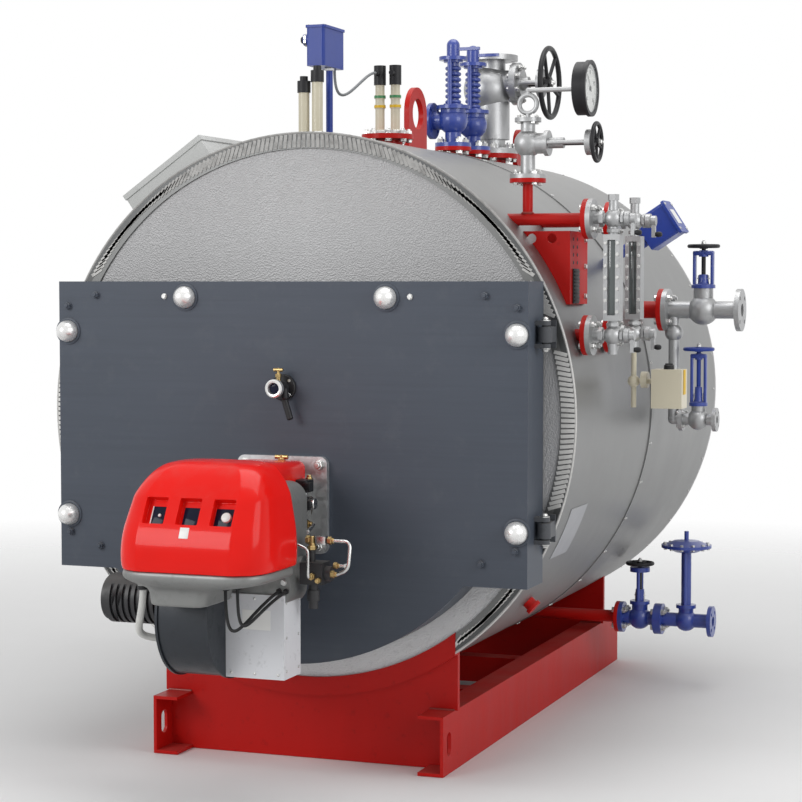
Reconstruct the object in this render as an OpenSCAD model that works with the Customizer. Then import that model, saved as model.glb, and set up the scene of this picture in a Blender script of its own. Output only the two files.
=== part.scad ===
// Horizontal fire-tube steam boiler with its burner, fittings and skid.
// X runs to the right seen from the front, Y towards the rear, Z up.
// The origin is on the floor, under the middle of the front saddle plate.

/* [Vessel] */
// Gap between the frame's top and the jacket's lowest line
vessel_lift = 30; // [20:5:60]
// Outer radius of the pressure shell
shell_r = 850; // [830:5:870]
// Thickness of the pressure shell
shell_t = 16; // [10:1:25]
// Thickness of the insulation with its cladding sheet
jacket_t = 100; // [90:5:110]
// Length of the cladding from the front plane to the rear plane
jacket_len = 2200; // [2100:10:2600]
// Distance of the front plane before the middle of the front saddle
front_lead = 30; // [25:1:40]
// Distance of the lap joint behind the front plane
joint_dist = 1050; // [900:10:1200]
// Thickness of the end cladding
end_clad_t = 20; // [15:1:25]
// Width of the crimped rim on the front face
rim_w = 53; // [45:1:56]
// Thickness of a tube plate
plate_t = 22; // [16:1:30]

/* [Furnace and tubes] */
// Drop of the furnace axis below the vessel axis
furnace_drop = 285; // [270:5:300]
// Outer radius of the furnace tube
furnace_r = 430; // [400:5:440]
// Wall of the furnace tube
furnace_t = 16; // [10:1:20]
// Distance of the furnace tube's end in front of the rear tube plate
furnace_gap = 260; // [240:5:400]
// Outer radius of a smoke tube
tube_r = 31; // [25:1:33]
// Wall of a smoke tube
tube_t = 4; // [3:0.5:5]
// Distance between the smoke tubes of a row
tube_pitch = 92; // [88:1:110]
// Distance between the rows of smoke tubes
row_pitch = 80; // [76:1:95]
// Depth of the smoke box between the rear tube plate and the shell's end
smoke_box_depth = 200; // [190:5:230]

/* [Frame] */
// Outer half width over the channel webs
frame_half_w = 530; // [500:5:560]
// Height of a channel
channel_h = 200; // [160:10:220]
// Width of a channel flange
channel_flange = 90; // [70:5:100]
// Thickness of the channel web and flanges
channel_t = 11; // [8:1:14]
// Distance of the channel's front end before the front plane
channel_lead = 100; // [80:5:150]
// Half width of the saddle plates above the channels
saddle_half_w = 540; // [520:5:580]
// Thickness of a saddle plate
saddle_t = 20; // [12:1:20]
// Distance of the rear saddle in front of the rear plane
rear_saddle_lead = 270; // [240:10:400]
// Radius of an anchor hole in the channel's lower flange
anchor_hole_r = 11; // [9:1:14]

/* [Door] */
// Step of the door's side edge inside the shell radius
door_inset = 10; // [5:1:15]
// Height of the door's top edge above the vessel axis
door_top = 450; // [440:5:460]
// Depth of the door's side corners below the vessel axis
door_low = 530; // [500:5:560]
// Step of the door's lower edge inside the shell radius
door_arc_inset = 30; // [25:1:34]
// Depth of the door from its face to the front plane
door_depth = 180; // [160:5:200]
// Thickness of the door's plates
door_plate_t = 12; // [8:1:14]
// Gap between the door's rim and the front plane
door_gap = 8; // [6:1:10]
// Step of the door's seat inside the shell radius
seat_inset = 35; // [34:1:38]
// Width of the door's seat
seat_w = 40; // [30:1:44]
// Step of the seat's upper edge below the door's
seat_drop = 25; // [20:1:35]
// Thickness of the refractory lining
lining_t = 100; // [60:5:110]
// Distance of the hinge axis outside the door's side edge
hinge_out = 30; // [28:1:32]
// Distance of the hinge axis before the front plane
hinge_lead = 90; // [80:5:100]
// Height of the upper hinge above the vessel axis
hinge_up = 280; // [260:5:300]
// Depth of the lower hinge below the vessel axis
hinge_down = 350; // [330:5:370]
// Radius of the hinge pin
hinge_pin_r = 10; // [8:1:11]

/* [Burner] */
// Half width of the burner's hood
hood_half_w = 245; // [220:5:260]
// Distance of the hood's front before the front plane
hood_reach = 950; // [900:10:1000]
// Length of the hood from its front to its rear edge
hood_len = 310; // [280:10:340]
// Height of the hood's lower edge above the burner axis
hood_low = -135; // [-145:5:-125]
// Height of the hood's top above the burner axis
hood_top = 185; // [170:5:200]
// Half width of the casting under the hood
housing_half_w = 150; // [130:5:160]
// Half height of the casting under the hood
housing_half_h = 110; // [90:5:120]
// Half width of the burner's mounting plate
mount_plate_half = 160; // [150:5:170]
// Thickness of the burner's mounting plate
mount_plate_t = 20; // [15:1:25]
// Outer radius of the blast tube
blast_r = 110; // [90:5:120]
// Distance that the blast tube reaches behind the front plane
blast_reach = 180; // [150:10:220]
// Radius of the fan casing
scroll_r = 205; // [180:5:215]
// Length of the fan casing across the burner
scroll_len = 180; // [150:5:190]
// Distance of the fan axis before the front plane
scroll_lead = 530; // [510:10:560]
// Depth of the fan axis below the burner axis
scroll_drop = 315; // [300:5:330]
// Radius of the fan motor
motor_r = 80; // [70:5:85]
// Length of the fan motor
motor_len = 245; // [200:5:260]

/* [Crown fittings] */
// Distance of the crown fittings' plane to the right of the vessel axis
crown_x = 50; // [40:5:60]
// Height of the crown flanges above the jacket
nozzle_rise = 35; // [30:1:50]
// Distance of the electrode pair behind the front plane
electrode_y = 180; // [170:5:200]
// Radius of an electrode
electrode_r = 19; // [16:1:20]
// Distance of the probe nozzle behind the front plane
probe_y = 660; // [640:10:680]
// Radius of a probe
probe_r = 17; // [14:1:18]
// Distance of the front lifting lug behind the front plane
lug_y = 960; // [940:10:980]
// Half thickness of a lifting lug
lug_half_t = 10; // [8:1:12]
// Distance of the first safety valve in front of the rear plane
safety_back = 800; // [780:10:820]
// Distance between the two safety valves
safety_pitch = 250; // [240:5:260]
// Radius of a safety valve's inlet flange
safety_flange_r = 72; // [65:1:80]
// Distance of the main steam valve in front of the rear plane
steam_back = 300; // [290:5:320]
// Radius of the main steam valve's flanges
steam_flange_r = 110; // [105:1:115]
// Length of the main steam valve from face to face
steam_face = 410; // [400:5:420]
// Radius of the main steam valve's handwheel
steam_wheel_r = 153; // [140:1:165]
// Depth of the cable box on the shoulder
box_depth = 96; // [80:1:110]

/* [Side fittings] */
// Distance of the first level gauge behind the front plane
gauge_y = 150; // [145:1:160]
// Distance between the two level gauges
gauge_pitch = 290; // [270:5:320]
// Height of the upper gauge nozzles above the vessel axis
gauge_up = 655; // [650:1:660]
// Height of the lower gauge nozzles above the vessel axis
gauge_down = 273; // [270:1:280]
// Radius of a gauge flange
gauge_flange_r = 66; // [60:1:68]
// Distance of the gauge columns outside the jacket
column_out = 80; // [75:1:95]
// Distance of the pressure gauge's branch inside the jacket's side
branch_inset = 212; // [205:1:220]
// Height of the branch's flange above the upper gauge nozzles
branch_rise = 135; // [125:5:145]
// Distance of the pressure gauge inside the jacket's side
dial_inset = 19; // [10:1:25]
// Radius of the pressure gauge's case
gauge_case_r = 87; // [80:1:90]
// Distance of the level limiter behind the front plane
limiter_y = 950; // [930:5:960]
// Distance of the limiter's head outside the jacket
limiter_rise = 180; // [160:5:190]
// Distance of the feed valves behind the front plane
feed_y = 1112; // [1110:1:1140]
// Height of the feed nozzle above the vessel axis
feed_z = 345; // [335:5:355]
// Distance of the feed nozzle's flange outside the jacket
feed_out = 30; // [25:1:35]
// Length of the feed valve from face to face
feed_face = 290; // [280:5:300]
// Depth of the bypass valve below the feed nozzle
bypass_drop = 405; // [395:5:415]
// Distance of the blow-down pipe in front of the rear plane
drain_back = 500; // [460:10:600]
// Height of the blow-down pipe above the jacket's lowest line
drain_rise = 40; // [38:1:45]
// Distance of the blow-down flange from the vessel axis to the right
drain_flange_x = 670; // [660:5:680]
// Length of the blow-down valve from face to face
drain_face = 160; // [155:5:170]
// Length of the quick blow-down valve from face to face
quick_face = 220; // [210:5:230]
// Radius of the small handwheels
small_wheel_r = 68; // [62:1:70]

/* [Flue] */
// Outer radius of the flue collar
flue_r = 200; // [170:5:220]
// Height of the flue collar above the vessel axis
flue_z = 380; // [360:5:420]

/* [Hidden] */
$fn = 48;
// Facets of the large circles
big_fn = 240;
// Clearance of pieces that seat on each other
seat_gap = 0.3;
jacket_r = shell_r + jacket_t;
axis_h = channel_h + jacket_r + vessel_lift;
front_y = -front_lead;
rear_y = front_y + jacket_len;
joint_y = front_y + joint_dist;
shell_y0 = front_y + end_clad_t;
shell_y1 = rear_y - end_clad_t;
shell_inner_r = shell_r - shell_t;
plate_y0 = shell_y0;
plate_y1 = plate_y0 + plate_t;
rear_plate_y = shell_y1 - smoke_box_depth;
furnace_len = rear_plate_y - plate_y0 - furnace_gap;
saddle_gap = rear_y - rear_saddle_lead;
door_half_w = shell_r - door_inset;
door_arc_r = shell_r - door_arc_inset;
seat_r = shell_r - seat_inset;
seat_top = door_top - seat_drop;
hinge_x = door_half_w + hinge_out;
burner_z = axis_h - furnace_drop;
channel_y0 = front_y - channel_lead;
channel_y1 = rear_y;
door_y0 = front_y - door_depth;
hinge_y = front_y - hinge_lead;
hinge_heights = [axis_h + hinge_up, axis_h - hinge_down];
eye_r = 22;
eye_h = 50;
lug_gap = 5;
lug_t = 14;
seal_t = 12;
seal_w = 14;
// Smoke tubes lie on a staggered grid outside the furnace and inside the seat
tube_limit_r = seat_r - seat_w - tube_r - 8;
tube_inner_r = furnace_r + tube_r + 22;
tube_top = seat_top - seat_w - tube_r - 30;
tube_points = [
    for (row = [0:1:14])
        for (col = [0:1:9])
            let (x = 190 + col * tube_pitch + (row % 2) * tube_pitch / 2)
            let (z = tube_top - row * row_pitch)
            if (norm([x, z]) < tube_limit_r && norm([x, z + furnace_drop]) > tube_inner_r)
                [x, z]
];
// Burner
mount_y = door_y0 - mount_plate_t;
hood_y0 = front_y - hood_reach;
hood_y1 = hood_y0 + hood_len;
scroll_y = front_y - scroll_lead;
scroll_z = burner_z - scroll_drop;
scroll_x0 = -20 - scroll_len;
scroll_x1 = -20;
casting_y0 = scroll_y - 60;
casting_y1 = scroll_y + 80;
casting_half_w = 195;
pump_z = burner_z - 165;
cable_end_y = casting_y0 - seat_gap;
tray_low = -255;
// Curves of the cords, each by four control points
cable_curves = [
    [[100, -800, burner_z + tray_low - seat_gap], [100, -800, burner_z - 385],
     [184, cable_end_y - 320, burner_z - 227], [184, cable_end_y, burner_z - 227]],
    [[60, -800, burner_z + tray_low - seat_gap], [60, -800, burner_z - 405],
     [160, cable_end_y - 320, burner_z - 227], [160, cable_end_y, burner_z - 227]]
];
conduit_curve = [
    [-225, -790, burner_z - 205 - seat_gap], [-225, -790, burner_z - 345],
    [scroll_x0 - 150, -680, burner_z - 388], [scroll_x0 - seat_gap, -680, burner_z - 388]
];
// Crown fittings
nozzle_top = jacket_r + nozzle_rise;
level_box_z = axis_h + jacket_r + 245;
electrode_pair_y = front_y + electrode_y;
electrode_xs = [-78, -28];
electrode_tops = [150, 185];
box_stem_r = 12;
box_stem_x = -30;
box_mid_x = -45;
box_mid_y = electrode_pair_y + 115;
probe_nozzle_y = front_y + probe_y;
probe_neck_r = 55;
probe_xs = [crown_x - 30, crown_x + 30];
lug_mid_y = front_y + lug_y;
lug_half_w = 100;
rear_lug_y = rear_y - 100;
rear_lug_xs = [crown_x - 60, crown_x + 60];
rear_lug_half_w = 60;
safety_ys = [rear_y - safety_back, rear_y - safety_back + safety_pitch];
safety_neck_r = 35;
steam_nozzle_y = rear_y - steam_back;
steam_neck_r = 60;
steam_stem_z = 290;
steam_stem_r = 13;
steam_yoke_h = 100;
wheel_gap = 5;
small_stem_r = 8;
box_angle = 125;
probe_curve = [
    [box_mid_x + 10, box_mid_y + 60, level_box_z - seat_gap],
    [box_mid_x + 10, box_mid_y + 60, level_box_z - 200],
    [probe_xs[0], probe_nozzle_y - 165, axis_h + jacket_r + 255],
    [probe_xs[0], probe_nozzle_y - probe_r - 28 - seat_gap, axis_h + jacket_r + 255]
];
// Side fittings
elbow_over = 1;
gauge_flange_x = jacket_r;
gauge_column_x = jacket_r + column_out;
branch_x = jacket_r - branch_inset;
branch_top = gauge_up + branch_rise;
dial_x = jacket_r - dial_inset;
limiter_reach = jacket_r + limiter_rise;
feed_flange_x = jacket_r + feed_out;
drain_z = jacket_r - drain_rise;
gauge_ys = [front_y + gauge_y, front_y + gauge_y + gauge_pitch];
gauge_zs = [axis_h + gauge_up, axis_h + gauge_down];
gauge_pipe_r = 20;
bracket_x = jacket_r - 65;
branch_r = 17;
branch_flange_r = 60;
gauge_stem_z = 115;
gauge_yoke_h = 160;
dial_z = axis_h + branch_top + 290;
limiter_angle = 33;
limiter_mid_y = front_y + limiter_y;
limiter_r = 20;
stub_angle = -42.7;
stub_y = front_y + 300;
stub_r = 22;
feed_mid_y = front_y + feed_y;
feed_pipe_r = 32;
feed_flange_r = 78;
feed_neck_h = 80;
feed_yoke_h = 140;
bypass_x0 = 60;
bypass_face = 140;
bypass_neck_h = 50;
bypass_yoke_h = 195;
drain_mid_y = rear_y - drain_back;
drain_pipe_r = 24;
drain_bend_x = 245;
drain_flange_r = 62;
drain_neck_h = 56;
drain_yoke_h = 150;

// Extrude a flat shape along Y, with its own y as height
module along_y(y0, y1) {
    translate([0, y1, 0])
        rotate([90, 0, 0])
            linear_extrude(y1 - y0)
                children();
}

// Cylinder along Y
module rod_y(r, y0, y1, x = 0, z = 0) {
    translate([x, y1, z])
        rotate([90, 0, 0])
            cylinder(r = r, h = y1 - y0);
}

// Cylinder along X
module rod_x(r, x0, x1, y = 0, z = 0) {
    translate([x0, y, z])
        rotate([0, 90, 0])
            cylinder(r = r, h = x1 - x0);
}

// Cylinder along Z
module rod_z(r, z0, z1, x = 0, y = 0) {
    translate([x, y, z0])
        cylinder(r = r, h = z1 - z0);
}

// Box from its low corner to its high corner
module block(low, high) {
    translate(low)
        cube(high - low);
}

// Turn the local Z axis outwards from the vessel axis at an angle from +X
module on_shell(angle, y) {
    translate([0, y, axis_h])
        rotate([0, 90 - angle, 0])
            children();
}

// Ring of round holes about the local Z axis
module hole_ring(pcd, count, r, h) {
    for (i = [0:1:count - 1])
        rotate([0, 0, (i + 0.5) * 360 / count])
            translate([pcd / 2, 0, -1])
                cylinder(r = r, h = h + 2);
}

// Pipe flange on the local Z axis
module flange(r, t, pcd, count, hole_r, bore_r = 0) {
    difference() {
        cylinder(r = r, h = t);
        hole_ring(pcd, count, hole_r, t);
        if (bore_r > 0)
            translate([0, 0, -1])
                cylinder(r = bore_r, h = t + 2);
    }
}

// Circle whose top is cut off at a height
module cut_circle(r, top) {
    intersection() {
        circle(r, $fn = big_fn);
        translate([-r, -r])
            square([2 * r, r + top]);
    }
}

// Outline of the door about the vessel axis
module door_outline(inset) {
    side = door_half_w - inset;
    translate([-side, -door_low + inset])
        square([2 * side, door_low + door_top - 2 * inset]);
    intersection() {
        circle(door_arc_r - inset, $fn = big_fn);
        translate([-door_arc_r, -door_arc_r])
            square([2 * door_arc_r, door_arc_r - door_low + inset + 1]);
    }
}

// Handwheel about the local Z axis, with its stem pointing down
module handwheel(r, rim, spokes, hub_r, hub_h, stem_r, stem_len, dish) {
    rotate_extrude()
        translate([r - rim, dish])
            circle(rim, $fn = 24);
    for (i = [0:1:spokes - 1])
        rotate([0, 0, i * 360 / spokes])
            translate([0, 0, hub_h / 2])
                rotate([0, 90 - atan2(dish - hub_h / 2, r - rim), 0])
                    cylinder(r = rim * 0.7, h = norm([r - rim, dish - hub_h / 2]));
    cylinder(r = hub_r, h = hub_h);
    translate([0, 0, -stem_len])
        cylinder(r = stem_r, h = stem_len + 1);
}

// Yoke over a bonnet: two columns, a bridge with a bore, and a gland
module yoke(r, h, stem_r, column_r) {
    difference() {
        union() {
            cylinder(r = r, h = 14);
            cylinder(r = stem_r * 2.2, h = h * 0.4);
            for (s = [-1, 1])
                translate([0, s * (r - column_r - 3), 0])
                    cylinder(r = column_r, h = h);
            translate([0, 0, h - 18])
                cylinder(r = r, h = 18);
        }
        translate([0, 0, h * 0.2])
            cylinder(r = stem_r + seat_gap, h = h);
    }
}

/* Base */

module channel_profile() {
    difference() {
        translate([frame_half_w - channel_flange, 0])
            square([channel_flange, channel_h]);
        translate([frame_half_w - channel_flange - 1, channel_t])
            square([channel_flange - channel_t + 1, channel_h - 2 * channel_t]);
    }
}

module base_frame() {
    web_x = frame_half_w - channel_t;
    slot_y = channel_y0 + 60;
    anchor_x = frame_half_w - channel_flange / 2;
    color("red")
    difference() {
        union() {
            for (s = [0, 1])
                mirror([s, 0, 0])
                    along_y(channel_y0, channel_y1)
                        channel_profile();
            for (y = [saddle_gap * 0.33, saddle_gap * 0.67])
                block([-web_x - 1, y - 40, 50], [web_x + 1, y + 40, channel_h - 50]);
        }
        for (s = [-1, 1]) {
            for (z = [channel_h / 2 - 18, channel_h / 2 + 18])
                rod_x(22, s * frame_half_w - channel_t - 1, s * frame_half_w + channel_t + 1,
                      slot_y, z);
            block([s * frame_half_w - channel_t - 1, slot_y - 22, channel_h / 2 - 18],
                  [s * frame_half_w + channel_t + 1, slot_y + 22, channel_h / 2 + 18]);
            for (y = [channel_y0 + 160, channel_y1 - 160])
                rod_z(anchor_hole_r, -1, channel_t + 1, s * anchor_x, y);
        }
    }
}

module saddle_outline() {
    inner = frame_half_w - channel_flange - seat_gap;
    web = frame_half_w - channel_t - seat_gap;
    low = channel_t + seat_gap;
    difference() {
        union() {
            translate([-inner, 0])
                square([2 * inner, channel_h + 1]);
            translate([-web, low])
                square([2 * web, channel_h - 2 * low]);
            translate([-saddle_half_w, channel_h])
                square([2 * saddle_half_w, axis_h - channel_h]);
        }
        translate([0, axis_h])
            circle(shell_r + seat_gap, $fn = big_fn);
        translate([-jacket_r, axis_h - sqrt(pow(shell_r, 2) - pow(saddle_half_w, 2)) + 30])
            square([2 * jacket_r, jacket_r]);
    }
}

module saddles() {
    color("red")
    for (y = [0, saddle_gap])
        along_y(y - saddle_t / 2, y + saddle_t / 2)
            saddle_outline();
}

/* Vessel */

module ring_y(r_out, r_in, y0, y1) {
    translate([0, 0, axis_h])
        along_y(y0, y1)
            difference() {
                circle(r_out, $fn = big_fn);
                circle(r_in, $fn = big_fn);
            }
}

module shell() {
    color("dimgray")
    ring_y(shell_r, shell_inner_r, shell_y0, shell_y1);
}

module tube_holes() {
    for (p = tube_points)
        for (s = [-1, 1])
            translate([s * p[0], p[1]])
                circle(tube_r + seat_gap);
}

module front_tube_plate() {
    color("dimgray")
    translate([0, 0, axis_h])
        along_y(plate_y0, plate_y1)
            difference() {
                circle(shell_inner_r - seat_gap, $fn = big_fn);
                translate([0, -furnace_drop])
                    circle(furnace_r + seat_gap, $fn = big_fn);
                tube_holes();
            }
}

module rear_tube_plate() {
    color("dimgray")
    translate([0, 0, axis_h])
        along_y(rear_plate_y, rear_plate_y + plate_t)
            difference() {
                circle(shell_inner_r - seat_gap, $fn = big_fn);
                tube_holes();
            }
}

module furnace_tube() {
    color("slategray")
    difference() {
        rod_y(furnace_r, plate_y0, plate_y0 + furnace_len, 0, burner_z);
        rod_y(furnace_r - furnace_t, plate_y0 - 1, plate_y0 + furnace_len + 1, 0, burner_z);
    }
}

// Dished end that closes the furnace
module furnace_end() {
    dish_r = furnace_r * 1.6;
    dish_h = dish_r - sqrt(pow(dish_r, 2) - pow(furnace_r, 2));
    color("slategray")
    translate([0, plate_y0 + furnace_len, burner_z])
        rotate([-90, 0, 0])
            rotate_extrude()
                difference() {
                    intersection() {
                        translate([0, dish_h - dish_r])
                            circle(dish_r, $fn = big_fn);
                        square([furnace_r, dish_h]);
                    }
                    translate([0, dish_h - dish_r])
                        circle(dish_r - furnace_t, $fn = big_fn);
                }
}

module smoke_tubes() {
    color("slategray")
    translate([0, 0, axis_h])
        along_y(plate_y0, rear_plate_y + plate_t)
            for (p = tube_points)
                for (s = [-1, 1])
                    translate([s * p[0], p[1]])
                        difference() {
                            circle(tube_r);
                            circle(tube_r - tube_t);
                        }
}

module rear_end_plate() {
    color("dimgray")
    translate([0, 0, axis_h])
        along_y(shell_y1 - plate_t / 2, shell_y1)
            difference() {
                circle(shell_inner_r - seat_gap, $fn = big_fn);
                translate([0, flue_z])
                    circle(flue_r + seat_gap);
            }
}

module saddle_slot(y) {
    half = saddle_half_w + seat_gap;
    block([-half, y - saddle_t / 2 - seat_gap, 0],
          [half, y + saddle_t / 2 + seat_gap, axis_h - shell_r / 2]);
}

module front_jacket() {
    color("silver")
    difference() {
        ring_y(jacket_r, shell_r + seat_gap, shell_y0, joint_y);
        saddle_slot(0);
        nozzle_holes();
    }
}

module rear_jacket() {
    color("silver")
    difference() {
        ring_y(jacket_r, shell_r + seat_gap, joint_y, shell_y1);
        saddle_slot(saddle_gap);
        nozzle_holes();
    }
}

// Crimped front rim, lap joint and side seam
module cladding_bands() {
    band = 2;
    seam_angle = 156;
    color("lightgray") {
        difference() {
            ring_y(jacket_r + band, jacket_r - rim_w, front_y - 6, shell_y0);
            ring_y(jacket_r + 2 * band, jacket_r - rim_w + band, front_y + 2, shell_y0 + 1);
        }
        difference() {
            ring_y(jacket_r + band, jacket_r + seat_gap, front_y + 2, front_y + 60);
            saddle_slot(0);
        }
        difference() {
            ring_y(jacket_r + 2 * band, jacket_r + seat_gap, joint_y - 20, joint_y + 25);
            nozzle_holes();
        }
        intersection() {
            ring_y(jacket_r + 3 * band, jacket_r + seat_gap, front_y + 62, joint_y - 21);
            on_shell(seam_angle, joint_y / 2)
                translate([-30, -joint_y, jacket_r - 20])
                    cube([60, 2 * joint_y, 40]);
        }
    }
}

module front_cladding() {
    color("gainsboro")
    translate([0, 0, axis_h])
        along_y(front_y, shell_y0)
            difference() {
                circle(jacket_r - rim_w - seat_gap, $fn = big_fn);
                cut_circle(seat_r + seat_gap, seat_top + seat_gap);
            }
}

module rear_cladding() {
    color("gainsboro")
    translate([0, 0, axis_h])
        along_y(shell_y1, rear_y)
            difference() {
                circle(jacket_r, $fn = big_fn);
                translate([0, flue_z])
                    circle(flue_r + seat_gap);
            }
}

module door_seat() {
    color("dimgray")
    translate([0, 0, axis_h])
        along_y(front_y, shell_y0)
            difference() {
                cut_circle(seat_r, seat_top);
                cut_circle(seat_r - seat_w, seat_top - seat_w);
            }
}

module flue_collar() {
    reach = 160;
    wall = 5;
    color("dimgray")
    translate([0, shell_y1 - plate_t / 2, axis_h + flue_z])
        rotate([-90, 0, 0])
            difference() {
                union() {
                    cylinder(r = flue_r, h = reach);
                    translate([0, 0, reach - 10])
                        cylinder(r = flue_r + 45, h = 10);
                }
                translate([0, 0, -1])
                    cylinder(r = flue_r - wall, h = reach + 2);
                translate([0, 0, reach - 11])
                    hole_ring(2 * flue_r + 50, 12, 7, 12);
            }
}

/* Door hinge */

module hinge_brackets() {
    rim_y = front_y - 6;
    color("dimgray")
    for (z = hinge_heights)
        difference() {
            union() {
                block([hinge_x - eye_r, rim_y - 8, z - 45], [hinge_x + eye_r - 8, rim_y, z + 45]);
                block([hinge_x - eye_r + 4, hinge_y, z - eye_h / 2],
                      [hinge_x + eye_r - 8, rim_y - 7, z + eye_h / 2]);
                rod_z(eye_r, z - eye_h / 2, z + eye_h / 2, hinge_x, hinge_y);
            }
            rod_z(hinge_pin_r + seat_gap, z - eye_h, z + eye_h, hinge_x, hinge_y);
        }
}

module door_hinges() {
    color("dimgray")
    for (z = hinge_heights) {
        for (s = [-1, 1])
            translate([0, 0, z + s * (eye_h / 2 + lug_gap + lug_t / 2) - lug_t / 2]) {
                block([door_half_w, hinge_y - 18, 0], [hinge_x, hinge_y + 18, lug_t]);
                rod_z(18, 0, lug_t, hinge_x, hinge_y);
            }
        rod_z(hinge_pin_r, z - eye_h / 2 - lug_gap - lug_t - 6, z + eye_h / 2 + lug_gap + lug_t + 6,
              hinge_x, hinge_y);
    }
}

/* Door */

module door_panel() {
    back = door_y0 + door_plate_t;
    carrier = seal_w + 6;
    mid = seat_r - seat_w / 2;
    mid_top = seat_top - seat_w / 2;
    color("slategray")
    translate([0, 0, axis_h])
        difference() {
            union() {
                along_y(door_y0, back)
                    door_outline(0);
                along_y(back - 1, front_y - door_gap)
                    difference() {
                        door_outline(0);
                        door_outline(door_plate_t);
                    }
                along_y(back - 1, front_y - seal_t - seat_gap)
                    difference() {
                        cut_circle(mid + carrier / 2, mid_top + carrier / 2);
                        cut_circle(mid - carrier / 2, mid_top - carrier / 2);
                    }
            }
            rod_y(blast_r + seat_gap, door_y0 - 1, back + 1, 0, -furnace_drop);
            rod_y(20, door_y0 - 1, back + 1, 0, 100);
        }
}

module door_lining() {
    back = door_y0 + door_plate_t;
    edge = seal_w / 2 + 3 + seat_gap;
    color("wheat")
    translate([0, 0, axis_h])
        along_y(back, back + lining_t)
            difference() {
                cut_circle(seat_r - seat_w / 2 - edge, seat_top - seat_w / 2 - edge);
                translate([0, -furnace_drop])
                    circle(blast_r + seat_gap);
                translate([0, 100])
                    circle(20);
            }
}

module door_seal() {
    mid = seat_r - seat_w / 2;
    mid_top = seat_top - seat_w / 2;
    color("ivory")
    translate([0, 0, axis_h])
        along_y(front_y - seal_t - seat_gap, front_y - seat_gap)
            difference() {
                cut_circle(mid + seal_w / 2, mid_top + seal_w / 2);
                cut_circle(mid - seal_w / 2, mid_top - seal_w / 2);
            }
}

// Domed nuts over the door's closing bolts
module door_caps() {
    cap_r = 37;
    side = door_half_w - 35;
    places = [[door_half_w - 480, door_top - 53], [side, hinge_up], [side, -hinge_down]];
    color("whitesmoke")
    for (p = places)
        for (s = [-1, 1])
            translate([s * p[0], door_y0, axis_h + p[1]])
            rotate([90, 0, 0])
                rotate_extrude() {
                    square([cap_r, 14]);
                    translate([0, 14])
                        intersection() {
                            circle(cap_r);
                            square([cap_r, cap_r]);
                        }
                }
}

module sight_tube() {
    z = axis_h + 100;
    color("dimgray")
    difference() {
        union() {
            rod_y(30, door_y0 - 75, door_y0, 0, z);
            rod_y(46, door_y0 - 12, door_y0, 0, z);
            rod_y(46, door_y0 - 90, door_y0 - 74, 0, z);
            rod_z(7, z + 25, z + 95, 0, door_y0 - 40);
            rod_x(6, -22, 22, door_y0 - 40, z + 88);
            translate([0, door_y0 - 45, z])
                rotate([0, 160, 0])
                    cylinder(r = 12, h = 130);
        }
        rod_y(32, door_y0 - 91, door_y0 - 84, 0, z);
    }
}

/* Burner */

module rounded_plate(half_w, half_h, r) {
    translate([-half_w + r, -half_h])
        square([2 * (half_w - r), 2 * half_h]);
    translate([-half_w, -half_h + r])
        square([2 * half_w, 2 * (half_h - r)]);
    for (sx = [-1, 1])
        for (sz = [-1, 1])
            translate([sx * (half_w - r), sz * (half_h - r)])
                circle(r);
}

module burner_mount() {
    corner = mount_plate_half - 26;
    color("silver")
    translate([0, 0, burner_z])
        along_y(mount_y, door_y0)
            difference() {
                rounded_plate(mount_plate_half, mount_plate_half, 24);
                circle(blast_r + seat_gap);
                for (sx = [-1, 1])
                    for (sz = [-1, 1])
                        translate([sx * corner, sz * corner])
                            circle(9);
            }
}

// Blast tube with its swirl plate near the tip
module blast_tube() {
    tip = front_y + blast_reach;
    wall = 5;
    color("dimgray")
    difference() {
        rod_y(blast_r, mount_y, tip, 0, burner_z);
        rod_y(blast_r - wall, tip - 60, tip + 1, 0, burner_z);
        rod_y(24, tip - 80, tip + 1, 0, burner_z);
        for (a = [0:45:315])
            translate([0, 0, burner_z])
                rotate([0, a, 0])
                    block([34, tip - 80, -4], [blast_r - 16, tip - 50, 4]);
    }
}

module housing_outline(grow) {
    rounded_plate(housing_half_w + grow, housing_half_h + grow, 30);
}

module neck_outline(grow) {
    rounded_plate(105 + grow, 105 + grow, 30);
}

// Casting that carries the hood, the fan and the pump, with its neck to the door
module burner_housing() {
    casting_low = burner_z - 285;
    color("gray")
    difference() {
        union() {
            translate([0, 0, burner_z]) {
                along_y(hood_y0 + 120, casting_y0 + 1)
                    housing_outline(0);
                along_y(casting_y1 - 1, mount_y)
                    neck_outline(0);
            }
            translate([0, 0, burner_z - 90])
                along_y(casting_y0, casting_y1)
                    rounded_plate(casting_half_w, 195, 60);
            rod_x(40, casting_half_w - 20, casting_half_w + 12, casting_y0 + 90, pump_z);
        }
        rod_x(scroll_r + seat_gap, scroll_x0 - seat_gap, scroll_x1 + seat_gap, scroll_y, scroll_z);
        block([scroll_x1 - 1, casting_y0 - 30, casting_low - 1],
              [casting_half_w - 14, casting_y1 - 20, casting_low + 45]);
    }
}

// Recess of a hood window, square to the sloping front
module hood_window(x) {
    slope = 29.5;
    depth = 25;
    translate([x, hood_y0 + 56, 47])
        rotate([-slope, 0, 0])
            block([-35, -60, -40], [35, depth, 40]);
}

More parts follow.
